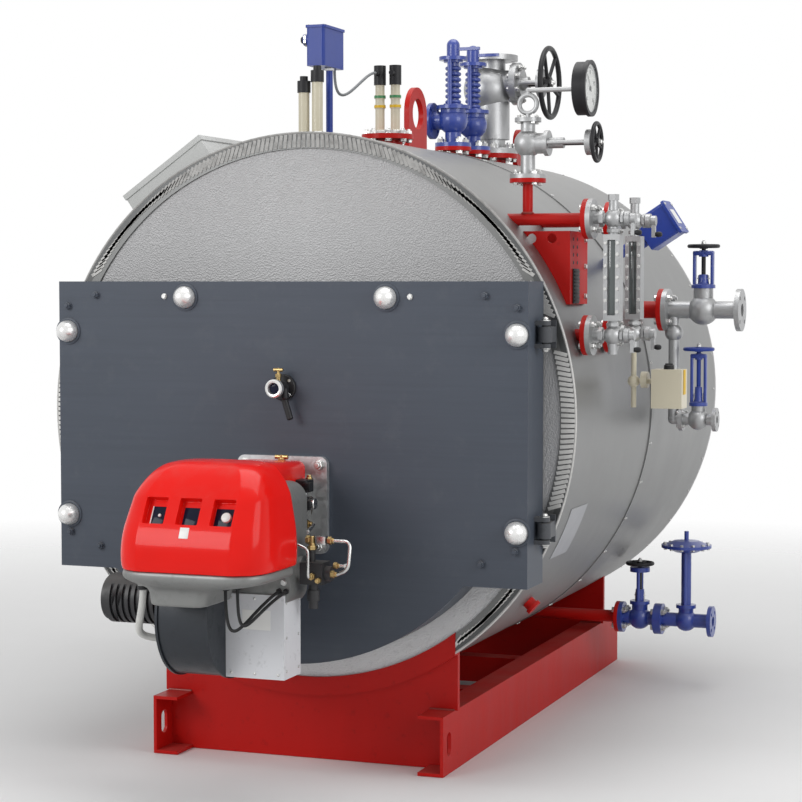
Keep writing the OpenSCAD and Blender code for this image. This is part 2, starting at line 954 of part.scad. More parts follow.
// Hood: a dome over the casting, cut flat below, with three recesses
module hood_dome() {
    r = 70;
    difference() {
        hull()
            for (s = [-1, 1]) {
                translate([s * (hood_half_w - r), hood_y0 + r, hood_low + 40])
                    sphere(r, $fn = 32);
                translate([s * (hood_half_w - r), hood_y0 + r, hood_low])
                    cylinder(r = r, h = 1, $fn = 32);
                translate([s * (hood_half_w - r - 5), hood_y0 + 1.6 * r, 10])
                    sphere(r, $fn = 32);
                translate([s * 95, hood_y0 + 2.7 * r, hood_top - r])
                    sphere(r, $fn = 32);
                translate([s * (hood_half_w - r - 20), hood_y1 - 1, hood_low + 70])
                    rotate([-90, 0, 0])
                        cylinder(r = r, h = 1, $fn = 32);
                translate([s * (hood_half_w - r - 25), hood_y1 - 1, 30])
                    rotate([-90, 0, 0])
                        cylinder(r = r, h = 1, $fn = 32);
                translate([s * 85, hood_y1 - 1, hood_top - r])
                    rotate([-90, 0, 0])
                        cylinder(r = r, h = 1, $fn = 32);
            }
        block([-2 * hood_half_w, hood_y0 - 10, hood_low - 200],
              [2 * hood_half_w, hood_y1 + 10, hood_low]);
        along_y(hood_y0 + 120 - seat_gap, hood_y1 + 1)
            housing_outline(seat_gap);
        for (x = [-112, 0, 112])
            hood_window(x);
    }
}

// Cap over the casting's rear end and its neck
module hood_cap() {
    difference() {
        hull() {
            block([-130, hood_y1 + 2, 60], [130, hood_y1 + 6, hood_top - 16]);
            block([-105, mount_y - 34, 90], [105, mount_y - 30, hood_top - 34]);
        }
        along_y(hood_y1, casting_y0 + 1)
            housing_outline(seat_gap);
        along_y(casting_y1 - 1, mount_y)
            neck_outline(seat_gap);
        translate([0, 0, -90])
            along_y(casting_y0 - seat_gap, casting_y1 + seat_gap)
                rounded_plate(casting_half_w + seat_gap, 195 + seat_gap, 60);
    }
}

module burner_hood() {
    color("red")
    translate([0, 0, burner_z]) {
        hood_dome();
        hood_cap();
    }
}

// Tray: closes the hood from below and narrows down towards the fan
module burner_tray() {
    color("silver")
    difference() {
        translate([0, 0, burner_z])
            union() {
                hull() {
                    block([-hood_half_w + 8, hood_y0 + 22, hood_low - 26],
                          [hood_half_w - 8, hood_y1 - 30, hood_low - seat_gap]);
                    block([-115, hood_y0 + 90, tray_low], [115, hood_y0 + 300, tray_low + 30]);
                }
                rod_z(17, tray_low + 50, hood_low - 20, conduit_curve[0][0], conduit_curve[0][1]);
            }
        rod_x(scroll_r + seat_gap, scroll_x0 - seat_gap, scroll_x1 + seat_gap, scroll_y, scroll_z);
    }
}

// Fan casing: a drum across the burner with flanged rims
module fan_scroll() {
    color("dimgray")
    difference() {
        union() {
            rod_x(scroll_r - 6, scroll_x0, scroll_x1, scroll_y, scroll_z);
            rod_x(scroll_r, scroll_x0, scroll_x0 + 8, scroll_y, scroll_z);
            rod_x(scroll_r, scroll_x1 - 8, scroll_x1, scroll_y, scroll_z);
        }
        for (a = [0:30:330])
            translate([scroll_x0 - 1, scroll_y, scroll_z])
                rotate([a, 0, 0])
                    translate([0, 0, scroll_r - 22])
                        rotate([0, 90, 0])
                            cylinder(r = 6, h = 12);
    }
}

// Fan motor with cooling grooves and an end cap
module fan_motor() {
    z = scroll_z + 30;
    x0 = scroll_x0 - motor_len;
    color("dimgray")
    difference() {
        union() {
            rod_x(motor_r, x0, scroll_x0, scroll_y, z);
            rod_x(motor_r + 14, scroll_x0 - 14, scroll_x0, scroll_y, z);
            rod_x(motor_r - 8, x0 - 15, x0 + 1, scroll_y, z);
            block([x0 + 60, scroll_y - 45, z + motor_r - 10], [x0 + 150, scroll_y + 45, z + motor_r + 28]);
        }
        for (i = [0:1:8])
            difference() {
                rod_x(motor_r + 1, x0 + 20 + 22 * i, x0 + 30 + 22 * i, scroll_y, z);
                rod_x(motor_r - 9, x0 + 19 + 22 * i, x0 + 31 + 22 * i, scroll_y, z);
                block([x0, scroll_y - 60, z], [x0 + motor_len, scroll_y + 60, z + motor_r + 30]);
            }
    }
}

// Air intake box beside the fan, open below
module air_box() {
    x1 = scroll_x1 + 200;
    y0 = scroll_y - 70;
    y1 = scroll_y + 60;
    wall = 4;
    low = scroll_z - scroll_r + 15;
    color("whitesmoke")
    difference() {
        block([scroll_x1 + seat_gap, y0, low], [x1, y1, burner_z - 240 - seat_gap]);
        block([scroll_x1 + wall, y0 + wall, low - 1], [x1 - wall, y1 - wall, low + 60]);
    }
}

// Oil pump on the casting's flank, with its solenoid and stub
module burner_pump() {
    x0 = casting_half_w + 12 + seat_gap;
    y = casting_y0 + 90;
    color("black") {
        block([x0, y - 40, pump_z - 45], [x0 + 75, y + 30, pump_z + 24]);
        rod_x(24, x0 + 74, x0 + 96, y - 5, pump_z - 12);
        rod_z(15, pump_z - 125, pump_z - 44, x0 + 30, y);
        rod_z(20, pump_z - 100, pump_z - 66, x0 + 30, y);
        rod_z(12, pump_z + 23, pump_z + 62, x0 + 24, y);
    }
}

/* Cords */

// Point of a cubic curve through four control points
function curve(p, t) =
    pow(1 - t, 3) * p[0] + 3 * pow(1 - t, 2) * t * p[1] + 3 * (1 - t) * pow(t, 2) * p[2]
    + pow(t, 3) * p[3];

function unit(v) = v / norm(v);

// Tube of eight sides swept along a curve, with closed ends
module cord(p, r, rings, side_ref) {
    sides = 8;
    points = [
        for (i = [0:1:rings])
            let (t = i / rings)
            let (here = curve(p, t))
            let (dir = unit(curve(p, min(t + 0.01, 1)) - curve(p, max(t - 0.01, 0))))
            let (side = unit(cross(dir, side_ref)))
            let (up = cross(side, dir))
            for (k = [0:1:sides - 1])
                here + r * (cos(k * 360 / sides) * side + sin(k * 360 / sides) * up)
    ];
    faces = [
        [for (k = [0:1:sides - 1]) k],
        for (i = [0:1:rings - 1])
            for (k = [0:1:sides - 1])
                for (half = [0, 1])
                    [i * sides + k, (i + 1) * sides + (k + half) % sides,
                     (i + 1 - half) * sides + (k + 1) % sides],
        [for (k = [sides - 1:-1:0]) rings * sides + k]
    ];
    polyhedron(points, faces);
}

// Two cables from the tray to the casting, and the motor's conduit
module burner_cables() {
    color("black") {
        for (c = cable_curves)
            cord(c, 5, 16, [0, 1, 0.02]);
        cord(conduit_curve, 12, 16, [0, 1, 0.02]);
    }
}

// Cable from the level box to the first probe
module electrode_cables() {
    color("gray")
    cord(probe_curve, 5, 14, [1, 0, 0.02]);
}

/* Top fittings */

// Upright round piece from the shell up to a height, clear of the shell
module shell_stub(x, y, r, top) {
    difference() {
        rod_z(r, axis_h + shell_r - 80, axis_h + top, x, y);
        rod_y(shell_r + seat_gap, y - 2 * r - 10, y + 2 * r + 10, 0, axis_h, $fn = big_fn);
    }
}

// Openings of the jacket for what passes through it
module nozzle_holes() {
    for (y = safety_ys)
        rod_z(safety_neck_r + seat_gap, axis_h, axis_h + jacket_r + 10, crown_x, y);
    rod_z(steam_neck_r + seat_gap, axis_h, axis_h + jacket_r + 10, crown_x, steam_nozzle_y);
    rod_z(probe_neck_r + seat_gap, axis_h, axis_h + jacket_r + 10, crown_x, probe_nozzle_y);
    for (x = electrode_xs)
        rod_z(electrode_r + seat_gap, axis_h, axis_h + jacket_r + 10, x, electrode_pair_y);
    rod_z(box_stem_r + seat_gap, axis_h, axis_h + jacket_r + 10, box_stem_x, box_mid_y);
    block([crown_x - lug_half_t - seat_gap, lug_mid_y - lug_half_w - seat_gap, axis_h],
          [crown_x + lug_half_t + seat_gap, lug_mid_y + lug_half_w + seat_gap, axis_h + jacket_r + 10]);
    for (x = rear_lug_xs)
        block([x - lug_half_t - seat_gap, rear_lug_y - rear_lug_half_w - seat_gap, axis_h],
              [x + lug_half_t + seat_gap, rear_lug_y + rear_lug_half_w + seat_gap,
               axis_h + jacket_r + 10]);
    for (y = gauge_ys)
        for (z = gauge_zs)
            rod_x(gauge_pipe_r + seat_gap, 0, jacket_r + 10, y, z);
    rod_x(feed_pipe_r + seat_gap, 0, jacket_r + 10, feed_mid_y, axis_h + feed_z);
    rod_x(drain_pipe_r + seat_gap, drain_bend_x, jacket_r, drain_mid_y, axis_h - drain_z);
    rod_z(drain_pipe_r + seat_gap, axis_h - drain_z, axis_h, drain_bend_x, drain_mid_y);
    translate([drain_bend_x, drain_mid_y, axis_h - drain_z])
        sphere(drain_pipe_r + elbow_over + seat_gap);
    on_shell(limiter_angle, limiter_mid_y)
        cylinder(r = limiter_r + seat_gap, h = jacket_r + 10);
    on_shell(stub_angle, stub_y)
        cylinder(r = stub_r + seat_gap, h = jacket_r + 10);
}

// Cable box on the left shoulder, its back cut to the cladding, with glands at the rear
module terminal_box() {
    half_w = 178;
    y0 = front_y + 120;
    y1 = y0 + 400;
    top = jacket_r + box_depth;
    color("lightgray")
    difference() {
        on_shell(box_angle, 0) {
            block([-half_w, y0, jacket_r - 60], [half_w, y1, top - 18]);
            block([-half_w - 4, y0 - 4, top - 19], [half_w + 4, y1 + 4, top]);
            for (x = [-half_w + 50:56:half_w - 50])
                rod_y(12, y1 - 1, y1 + 26, x, top - 56);
        }
        rod_y(jacket_r + seat_gap, y0 - 10, y1 + 40, 0, axis_h, $fn = big_fn);
    }
}

// Level electrodes on the crown, and the probes of the flanged nozzle
module electrodes() {
    color("ivory") {
        for (i = [0, 1])
            shell_stub(electrode_xs[i], electrode_pair_y, electrode_r, jacket_r + electrode_tops[i]);
        for (x = probe_xs) {
            rod_z(probe_r, axis_h + nozzle_top - 20, axis_h + jacket_r + 215, x, probe_nozzle_y);
            for (z = [jacket_r + 130, jacket_r + 165])
                rod_z(probe_r + 3, axis_h + z, axis_h + z + 14, x, probe_nozzle_y);
        }
    }
}

// Plug heads on the electrodes and the probes
module electrode_heads() {
    color("black") {
        for (i = [0, 1]) {
            z0 = axis_h + jacket_r + electrode_tops[i] + seat_gap;
            rod_z(electrode_r + 4, z0, z0 + 40, electrode_xs[i], electrode_pair_y);
            rod_z(electrode_r - 5, z0 + 39, z0 + 56, electrode_xs[i], electrode_pair_y);
        }
        for (x = probe_xs) {
            z0 = axis_h + jacket_r + 215 + seat_gap;
            rod_z(probe_r + 5, z0, z0 + 70, x, probe_nozzle_y);
            rod_y(9, probe_nozzle_y - probe_r - 28, probe_nozzle_y, x, z0 + 40);
        }
    }
}

// Level box on its stem, with a gland on the left
module electrode_box() {
    z0 = level_box_z;
    color("royalblue") {
        shell_stub(box_stem_x, box_mid_y, box_stem_r, level_box_z - axis_h + 1);
        translate([box_mid_x, box_mid_y, z0])
            linear_extrude(132)
                rounded_plate(34, 92, 9);
        translate([box_mid_x, box_mid_y, z0 + 131])
            linear_extrude(9)
                rounded_plate(38, 96, 11);
        rod_x(20, box_mid_x - 66, box_mid_x - 33, box_mid_y - 30, z0 + 96);
    }
}

// Flanged neck on the crown: from the shell to a height over the vessel axis
module crown_nozzle(y, neck_r, flange_r, t, count, hole_r, bore_r) {
    difference() {
        union() {
            shell_stub(crown_x, y, neck_r, nozzle_top);
            translate([crown_x, y, axis_h + nozzle_top - t])
                flange(flange_r, t, 2 * flange_r - 36, count, hole_r);
        }
        rod_z(bore_r, axis_h, axis_h + nozzle_top + 1, crown_x, y);
    }
}

// Lifting lug along Y, rounded on top, with its foot on the shell
module lug(x, y, half_w, eye_z, hole_r) {
    difference() {
        union() {
            block([x - lug_half_t, y - half_w, axis_h + shell_r - 60],
                  [x + lug_half_t, y + half_w, axis_h + eye_z]);
            rod_x(half_w, x - lug_half_t, x + lug_half_t, y, axis_h + eye_z);
        }
        rod_x(hole_r, x - lug_half_t - 1, x + lug_half_t + 1, y, axis_h + eye_z);
        rod_y(shell_r + seat_gap, y - half_w - 1, y + half_w + 1, 0, axis_h, $fn = big_fn);
    }
}

module lifting_lugs() {
    color("red") {
        lug(crown_x, lug_mid_y, lug_half_w, jacket_r + 132, 58);
        for (x = rear_lug_xs)
            lug(x, rear_lug_y, rear_lug_half_w, jacket_r + 90, 34);
    }
}

// Wide neck whose cover plate carries two probes
module probe_nozzle() {
    difference() {
        union() {
            shell_stub(crown_x, probe_nozzle_y, probe_neck_r, nozzle_top);
            translate([crown_x, probe_nozzle_y, axis_h + nozzle_top - 18])
                flange(probe_neck_r + 40, 18, 2 * probe_neck_r + 44, 8, 8);
        }
        for (x = probe_xs)
            rod_z(probe_r + seat_gap, axis_h + nozzle_top - 20 - seat_gap, axis_h + nozzle_top + 1,
                  x, probe_nozzle_y);
    }
}

// Necks of the safety valves, the steam valve and the probes
module crown_nozzles() {
    color("red") {
        for (y = safety_ys)
            crown_nozzle(y, safety_neck_r, safety_flange_r, 16, 4, 9, 20);
        crown_nozzle(steam_nozzle_y, steam_neck_r, steam_flange_r, 20, 8, 9, 48);
        probe_nozzle();
    }
}

// Spring safety valve: inlet flange, body with side outlet, open yoke, cap and lever
module safety_valve() {
    body_z = 105;
    yoke_z = 160;
    yoke_h = 190;
    flange(safety_flange_r, 16, 2 * safety_flange_r - 36, 4, 9);
    cylinder(r = 32, h = body_z);
    translate([0, 0, body_z])
        sphere(58);
    translate([0, 0, body_z])
        cylinder(r = 50, h = 50);
    translate([0, 0, body_z + 45])
        cylinder(r = 66, h = 14);
    translate([-95, 0, body_z])
        rotate([0, 90, 0]) {
            cylinder(r = 36, h = 60);
            flange(72, 16, 110, 4, 9);
        }
    for (s = [-1, 1])
        translate([0, s * 44, yoke_z - 1])
            cylinder(r = 9, h = yoke_h);
    translate([0, 0, yoke_z - 1])
        cylinder(r = 18, h = yoke_h + 2);
    for (i = [0:1:6])
        translate([0, 0, yoke_z + 18 + i * 22])
            rotate_extrude()
                translate([24, 0])
                    circle(8, $fn = 16);
    for (z = [yoke_z - 1, yoke_z + yoke_h - 16])
        translate([0, 0, z])
            cylinder(r = 38, h = 12);
    translate([0, 0, yoke_z + yoke_h - 8])
        cylinder(r = 56, h = 14);
    translate([0, 0, yoke_z + yoke_h + 5])
        cylinder(r = 26, h = 46);
    translate([0, 0, yoke_z + yoke_h + 51])
        sphere(26);
    translate([0, -8, yoke_z + yoke_h + 30])
        cube([110, 16, 12]);
}

module safety_valves() {
    color("blue")
    for (y = safety_ys)
        translate([crown_x, y, axis_h + nozzle_top])
            difference() {
                safety_valve();
                rod_x(26, -96, -50, 0, 105);
            }
}

// Crown valve: upright flow, bulge to the left, bonnet and yoke to the right
module steam_valve() {
    color("silver")
    translate([crown_x, steam_nozzle_y, axis_h + nozzle_top])
        difference() {
            union() {
                flange(steam_flange_r, 22, 2 * steam_flange_r - 36, 8, 9);
                cylinder(r = 58, h = steam_face);
                translate([0, 0, steam_face - 22])
                    flange(steam_flange_r, 22, 180, 8, 9);
                translate([-14, 0, steam_stem_z - 20])
                    sphere(104);
                translate([0, 0, 60])
                    cylinder(r = 76, h = steam_face - 140);
                translate([0, 0, steam_stem_z])
                    rotate([0, 90, 0]) {
                        cylinder(r = 58, h = 100);
                        translate([0, 0, 98])
                            flange(88, 14, 146, 8, 7);
                        translate([0, 0, 112 - seat_gap])
                            flange(88, 14, 146, 8, 7);
                        translate([0, 0, 125])
                            yoke(60, steam_yoke_h, steam_stem_r, 10);
                    }
            }
            translate([0, 0, steam_face - 40])
                cylinder(r = 50, h = 41);
        }
}

module steam_wheel() {
    color("black")
    translate([crown_x + 125 + steam_yoke_h + wheel_gap, steam_nozzle_y,
               axis_h + nozzle_top + steam_stem_z])
        rotate([0, 90, 0])
            handwheel(steam_wheel_r, 11, 5, 26, 30, steam_stem_r, steam_yoke_h * 0.8, 24);
}

/* Right side fittings */

// Console on the shell's shoulder: two gussets and a plate with a slot
module gauge_bracket() {
    t = 8;
    high = axis_h + gauge_up - 39;
    low = axis_h + gauge_down + 101;
    depth = 210;
    y0 = gauge_ys[0] - t / 2;
    color("red")
    difference() {
        union() {
            for (y = [y0, y0 + depth])
                block([bracket_x - 180, y, low], [bracket_x, y + t, high]);
            block([bracket_x - t, y0, low], [bracket_x, y0 + depth + t, high]);
        }
        rod_y(jacket_r + seat_gap, y0 - 1, y0 + depth + t + 1, 0, axis_h, $fn = big_fn);
        block([bracket_x - t - 1, y0 + 36, low + 10], [bracket_x + 1, y0 + 96, low + 110]);
        for (x = [bracket_x - 132, bracket_x - 62])
            rod_y(16, y0 - 1, y0 + t + 1, x, high - 24);
    }
}

// Branch for the pressure gauge on the first upper nozzle
module gauge_branch() {
    top = axis_h + branch_top;
    rod_z(branch_r, gauge_zs[0], top, branch_x, gauge_ys[0]);
    translate([branch_x, gauge_ys[0], top - 14])
        flange(branch_flange_r, 14, 2 * branch_flange_r - 30, 4, 6);
}

module gauge_nozzles() {
    color("red") {
        for (y = gauge_ys)
            for (z = gauge_zs)
                difference() {
                    union() {
                        rod_x(gauge_pipe_r, shell_r * 0.5, gauge_flange_x, y, z);
                        translate([gauge_flange_x - 16, y, z])
                            rotate([0, 90, 0])
                                flange(gauge_flange_r, 16, 2 * gauge_flange_r - 34, 4, 7);
                    }
                    rod_y(shell_r + seat_gap, y - 100, y + 100, 0, axis_h, $fn = big_fn);
                }
        gauge_branch();
    }
}

// Gauge cocks with a square column between them
module level_gauges() {
    color("silver")
    for (y = gauge_ys)
        difference() {
            union() {
                for (z = gauge_zs) {
                    translate([gauge_flange_x, y, z])
                        rotate([0, 90, 0])
                            flange(gauge_flange_r, 16, 2 * gauge_flange_r - 34, 4, 7);
                    rod_x(17, gauge_flange_x + 15, gauge_column_x + 74, y, z);
                    translate([gauge_column_x, y, z])
                        sphere(31);
                    rod_x(24, gauge_column_x + 40, gauge_column_x + 56, y, z);
                    block([gauge_column_x + 60, y - 9, z - 56], [gauge_column_x + 72, y + 9, z]);
                }
                rod_z(15, gauge_zs[1] - 62, gauge_zs[0] + 60, gauge_column_x, y);
                block([gauge_column_x - 27, y - 26, gauge_zs[1] + 48],
                      [gauge_column_x + 27, y + 26, gauge_zs[0] - 52]);
                translate([gauge_column_x, y, gauge_zs[0] + 59])
                    cylinder(r = 19, h = 20, $fn = 6);
            }
            block([gauge_column_x - 13, y - 27, gauge_zs[1] + 66],
                  [gauge_column_x + 13, y - 14, gauge_zs[0] - 70]);
            block([gauge_column_x - 13, y + 14, gauge_zs[1] + 66],
                  [gauge_column_x + 13, y + 27, gauge_zs[0] - 70]);
        }
}

// Stop valve on the branch, its bonnet to the right, with the gauge's siphon
module gauge_valve() {
    color("silver")
    translate([branch_x, gauge_ys[0], axis_h + branch_top]) {
        flange(branch_flange_r, 14, 2 * branch_flange_r - 30, 4, 6);
        cylinder(r = 24, h = 200);
        translate([0, 0, gauge_stem_z])
            sphere(46);
        translate([0, 0, 186])
            flange(44, 14, 66, 4, 5);
        translate([0, 0, gauge_stem_z])
            rotate([0, 90, 0]) {
                cylinder(r = 34, h = 62);
                translate([0, 0, 60])
                    yoke(42, gauge_yoke_h, small_stem_r, 7);
            }
        rod_z(8, 199, 217);
        translate([0, 0, 245])
            rotate([90, 0, 0])
                rotate_extrude()
                    translate([30, 0])
                        circle(8, $fn = 24);
        rod_z(8, 273, 290);
        translate([0, 0, 290])
            sphere(8 + elbow_over);
        rod_x(8, 0, dial_x - 22 - seat_gap - branch_x, 0, 290);
    }
}

module gauge_wheel() {
    color("black")
    translate([branch_x + 60 + gauge_yoke_h + wheel_gap, gauge_ys[0],
               axis_h + branch_top + gauge_stem_z])
        rotate([0, 90, 0])
            handwheel(small_wheel_r, 7, 5, 15, 18, small_stem_r, gauge_yoke_h * 0.78, 10);
}

module pressure_gauge() {
    color("black")
    difference() {
        union() {
            rod_x(gauge_case_r, dial_x - 22, dial_x + 22, gauge_ys[0], dial_z);
            rod_x(gauge_case_r + 5, dial_x + 12, dial_x + 25, gauge_ys[0], dial_z);
        }
        rod_x(gauge_case_r - 7, dial_x + 17, dial_x + 26, gauge_ys[0], dial_z);
    }
}

// Low-water limiter: an inclined rod in the shell with a square head
module level_limiter() {
    color("royalblue")
    on_shell(limiter_angle, limiter_mid_y)
        union() {
            translate([0, 0, shell_r + seat_gap])
                cylinder(r = limiter_r, h = limiter_reach - shell_r);
            translate([0, 0, limiter_reach - 40])
                cylinder(r = limiter_r + 14, h = 30);
            translate([0, 0, limiter_reach])
                linear_extrude(120)
                    rounded_plate(62, 62, 12);
            translate([0, 0, limiter_reach + 119])
                linear_extrude(10)
                    rounded_plate(67, 67, 14);
        }
}

module feed_nozzle() {
    color("red")
    difference() {
        union() {
            rod_x(feed_pipe_r, shell_r * 0.5, feed_flange_x, feed_mid_y, axis_h + feed_z);
            translate([feed_flange_x - 18, feed_mid_y, axis_h + feed_z])
                rotate([0, 90, 0])
                    flange(feed_flange_r, 18, 2 * feed_flange_r - 36, 4, 8);
        }
        rod_y(shell_r + seat_gap, feed_mid_y - 100, feed_mid_y + 100, 0, axis_h, $fn = big_fn);
    }
}

// Globe valve body: flow along X from 0 to face, bonnet neck along Z at its middle
module globe_body(face, pipe_r, end_r, end_t, bulb_r, neck_r, neck_h, pcd, hole_r = 8) {
    difference() {
        union() {
            rod_x(pipe_r, 0, face);
            for (x = [0, face - end_t])
                translate([x, 0, 0])
                    rotate([0, 90, 0])
                        flange(end_r, end_t, pcd, 4, hole_r);
            translate([face / 2, 0, 0])
                sphere(bulb_r);
            rod_z(neck_r, 0, neck_h, face / 2, 0);
        }
        rod_x(pipe_r - 8, face - 50, face + 1);
    }
}

// Feed stop valve and, on a tee below it, the bypass valve
module feed_valves() {
    color("silver")
    translate([feed_flange_x, feed_mid_y, axis_h + feed_z]) {
        globe_body(feed_face, 32, feed_flange_r, 18, 56, 36, feed_neck_h, 2 * feed_flange_r - 36);
        rod_z(20, -bypass_drop, 0, 36, 0);
        translate([36, 0, -84])
            sphere(34);
        translate([36, 0, -bypass_drop])
            sphere(20 + elbow_over);
        rod_x(20, 36, bypass_x0 + 1, 0, -bypass_drop);
        translate([bypass_x0, 0, -bypass_drop])
            globe_body(bypass_face, 22, 44, 14, 40, 26, bypass_neck_h, 70, 4.5);
    }
}

module feed_yokes() {
    color("royalblue")
    translate([feed_flange_x, feed_mid_y, axis_h + feed_z]) {
        translate([feed_face / 2, 0, feed_neck_h])
            yoke(44, feed_yoke_h, small_stem_r, 8);
        translate([bypass_x0 + bypass_face / 2, 0, bypass_neck_h - bypass_drop])
            yoke(34, bypass_yoke_h, small_stem_r, 6);
    }
}

module feed_wheel() {
    color("black")
    translate([feed_flange_x + feed_face / 2, feed_mid_y,
               axis_h + feed_z + feed_neck_h + feed_yoke_h + wheel_gap])
        handwheel(small_wheel_r - 8, 7, 5, 15, 18, small_stem_r, feed_yoke_h * 0.78, 10);
}

module bypass_wheel() {
    color("royalblue")
    translate([feed_flange_x + bypass_x0 + bypass_face / 2, feed_mid_y,
               axis_h + feed_z - bypass_drop + bypass_neck_h + bypass_yoke_h + wheel_gap])
        handwheel(small_wheel_r - 10, 7, 5, 15, 18, small_stem_r, bypass_yoke_h * 0.78, 10);
}

// Gauge drain: ball valve under the second column with its actuator
module drain_actuator() {
    x = gauge_column_x;
    y = gauge_ys[1];
    z = gauge_zs[1] - 62 - seat_gap;
    color("beige") {
        rod_z(9, z - 190, z, x, y);
        translate([x, y, z - 100])
            sphere(21);
        rod_x(9, x, x + 75, y, z - 100);
        rod_x(28, x + 28, x + 50, y, z - 95);
        block([x + 70, y - 42, z - 190], [x + 175, y + 42, z - 58]);
    }
}

// Plugged stub low on the right shoulder
module drain_stub() {
    on_shell(stub_angle, stub_y) {
        translate([0, 0, shell_r + seat_gap])
            cylinder(r = stub_r, h = jacket_t + 22);
        translate([0, 0, jacket_r + 21])
            cylinder(r = stub_r + 6, h = 12);
    }
}

module drain_pipe() {
    color("red") {
        drain_stub();
        difference() {
            union() {
                rod_x(drain_pipe_r, drain_bend_x, drain_flange_x, drain_mid_y, axis_h - drain_z);
                rod_z(drain_pipe_r, axis_h - drain_z, axis_h - shell_r + 60, drain_bend_x, drain_mid_y);
                translate([drain_bend_x, drain_mid_y, axis_h - drain_z])
                    sphere(drain_pipe_r + elbow_over);
                translate([drain_flange_x - 16, drain_mid_y, axis_h - drain_z])
                    rotate([0, 90, 0])
                        flange(drain_flange_r, 16, 2 * drain_flange_r - 36, 4, 8);
            }
            rod_y(shell_r + seat_gap, drain_mid_y - 100, drain_mid_y + 100, 0, axis_h, $fn = big_fn);
        }
    }
}

module drain_valve() {
    color("royalblue")
    translate([drain_flange_x, drain_mid_y, axis_h - drain_z]) {
        globe_body(drain_face, 28, drain_flange_r, 16, 46, 32, drain_neck_h + 1,
                   2 * drain_flange_r - 36);
        translate([drain_face / 2, 0, drain_neck_h])
            yoke(40, drain_yoke_h, small_stem_r, 7);
    }
}

module drain_wheel() {
    color("black")
    translate([drain_flange_x + drain_face / 2, drain_mid_y,
               axis_h - drain_z + drain_neck_h + drain_yoke_h + wheel_gap])
        handwheel(small_wheel_r - 10, 7, 5, 15, 18, small_stem_r, drain_yoke_h * 0.78, 10);
}

// Quick blow-down valve with a flat diaphragm drive on a tall yoke
module quick_drain_valve() {
    color("royalblue")
    translate([drain_flange_x + drain_face, drain_mid_y, axis_h - drain_z]) {
        globe_body(quick_face, 28, drain_flange_r, 16, 44, 30, 60, 2 * drain_flange_r - 36);
        translate([quick_face / 2, 0, 0]) {
            cylinder(r = 20, h = 290);
            for (s = [-1, 1])
                translate([0, s * 24, 50])
                    cylinder(r = 8, h = 240);
            translate([0, 0, 50])
                cylinder(r = 40, h = 14);
            translate([0, 0, 276])
                rotate_extrude()
                    polygon([[0, 0], [44, 0], [88, 18], [100, 18], [100, 30], [88, 30],
                             [50, 46], [0, 50]]);
            translate([0, 0, 320])
                cylinder(r = 9, h = 40);
        }
    }
}

base_frame();
saddles();
shell();
front_tube_plate();
rear_tube_plate();
furnace_tube();
furnace_end();
smoke_tubes();
rear_end_plate();
front_jacket();
rear_jacket();
cladding_bands();
front_cladding();
rear_cladding();
door_seat();
flue_collar();
hinge_brackets();
terminal_box();
electrodes();
electrode_heads();
electrode_box();
electrode_cables();
lifting_lugs();
crown_nozzles();
safety_valves();
steam_valve();
gauge_bracket();
gauge_nozzles();
level_gauges();
gauge_valve();
pressure_gauge();
level_limiter();
feed_nozzle();
feed_valves();
feed_yokes();
drain_actuator();
drain_pipe();
drain_valve();
quick_drain_valve();
door_panel();
door_lining();
door_seal();
door_caps();
door_hinges();
sight_tube();
burner_mount();
blast_tube();
burner_housing();
burner_hood();
burner_tray();
fan_scroll();
fan_motor();
air_box();
burner_pump();
burner_cables();
steam_wheel();
feed_wheel();
bypass_wheel();
drain_wheel();
gauge_wheel();
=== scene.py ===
"""Finishes, fasteners, small fittings and the studio stage of a fire-tube boiler with its burner."""

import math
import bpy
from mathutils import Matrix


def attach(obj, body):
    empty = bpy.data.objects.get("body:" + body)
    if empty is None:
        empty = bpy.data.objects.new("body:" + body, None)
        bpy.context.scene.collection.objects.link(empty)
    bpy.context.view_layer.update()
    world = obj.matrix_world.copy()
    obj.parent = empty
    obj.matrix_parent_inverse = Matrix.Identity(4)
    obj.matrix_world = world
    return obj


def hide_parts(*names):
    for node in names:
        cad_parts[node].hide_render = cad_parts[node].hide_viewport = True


bl_info = {
    "name": "Fire-tube boiler dressing",
    "version": (1, 0, 0),
    "blender": (4, 5, 0),
    "location": "View3D > Sidebar > Boiler",
    "description": "Gives the packed boiler its finishes, fasteners and small fittings, and lights it",
    "category": "Object",
}

from functools import cache
from itertools import product

import bmesh
import bpy
from bpy.props import FloatProperty, FloatVectorProperty, IntProperty, PointerProperty
from mathutils import Matrix, Vector

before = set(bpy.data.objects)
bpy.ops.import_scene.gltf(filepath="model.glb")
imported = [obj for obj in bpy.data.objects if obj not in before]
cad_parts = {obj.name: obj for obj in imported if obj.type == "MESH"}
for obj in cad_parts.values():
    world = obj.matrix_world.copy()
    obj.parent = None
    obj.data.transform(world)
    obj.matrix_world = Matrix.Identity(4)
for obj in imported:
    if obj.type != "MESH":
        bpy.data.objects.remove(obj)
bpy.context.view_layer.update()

MM = 0.001
TAU = 2 * math.pi
UP, DOWN = (0, 0, 1), (0, 0, -1)
RIGHT, LEFT = (1, 0, 0), (-1, 0, 0)
REAR, FRONT = (0, 1, 0), (0, -1, 0)
X, Y, Z = range(3)
DOOR = "burner_door"


def span(name):
    """Lowest and highest corner of a node of the frame, in whole millimetres."""
    points = [vertex.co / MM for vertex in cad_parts[name].data.vertices]
    return [[round(limit(point[axis] for point in points)) for axis in (X, Y, Z)] for limit in (min, max)]


def middle(name, axis):
    """Middle of a node along an axis, in millimetres."""
    low, high = span(name)
    return (low[axis] + high[axis]) / 2


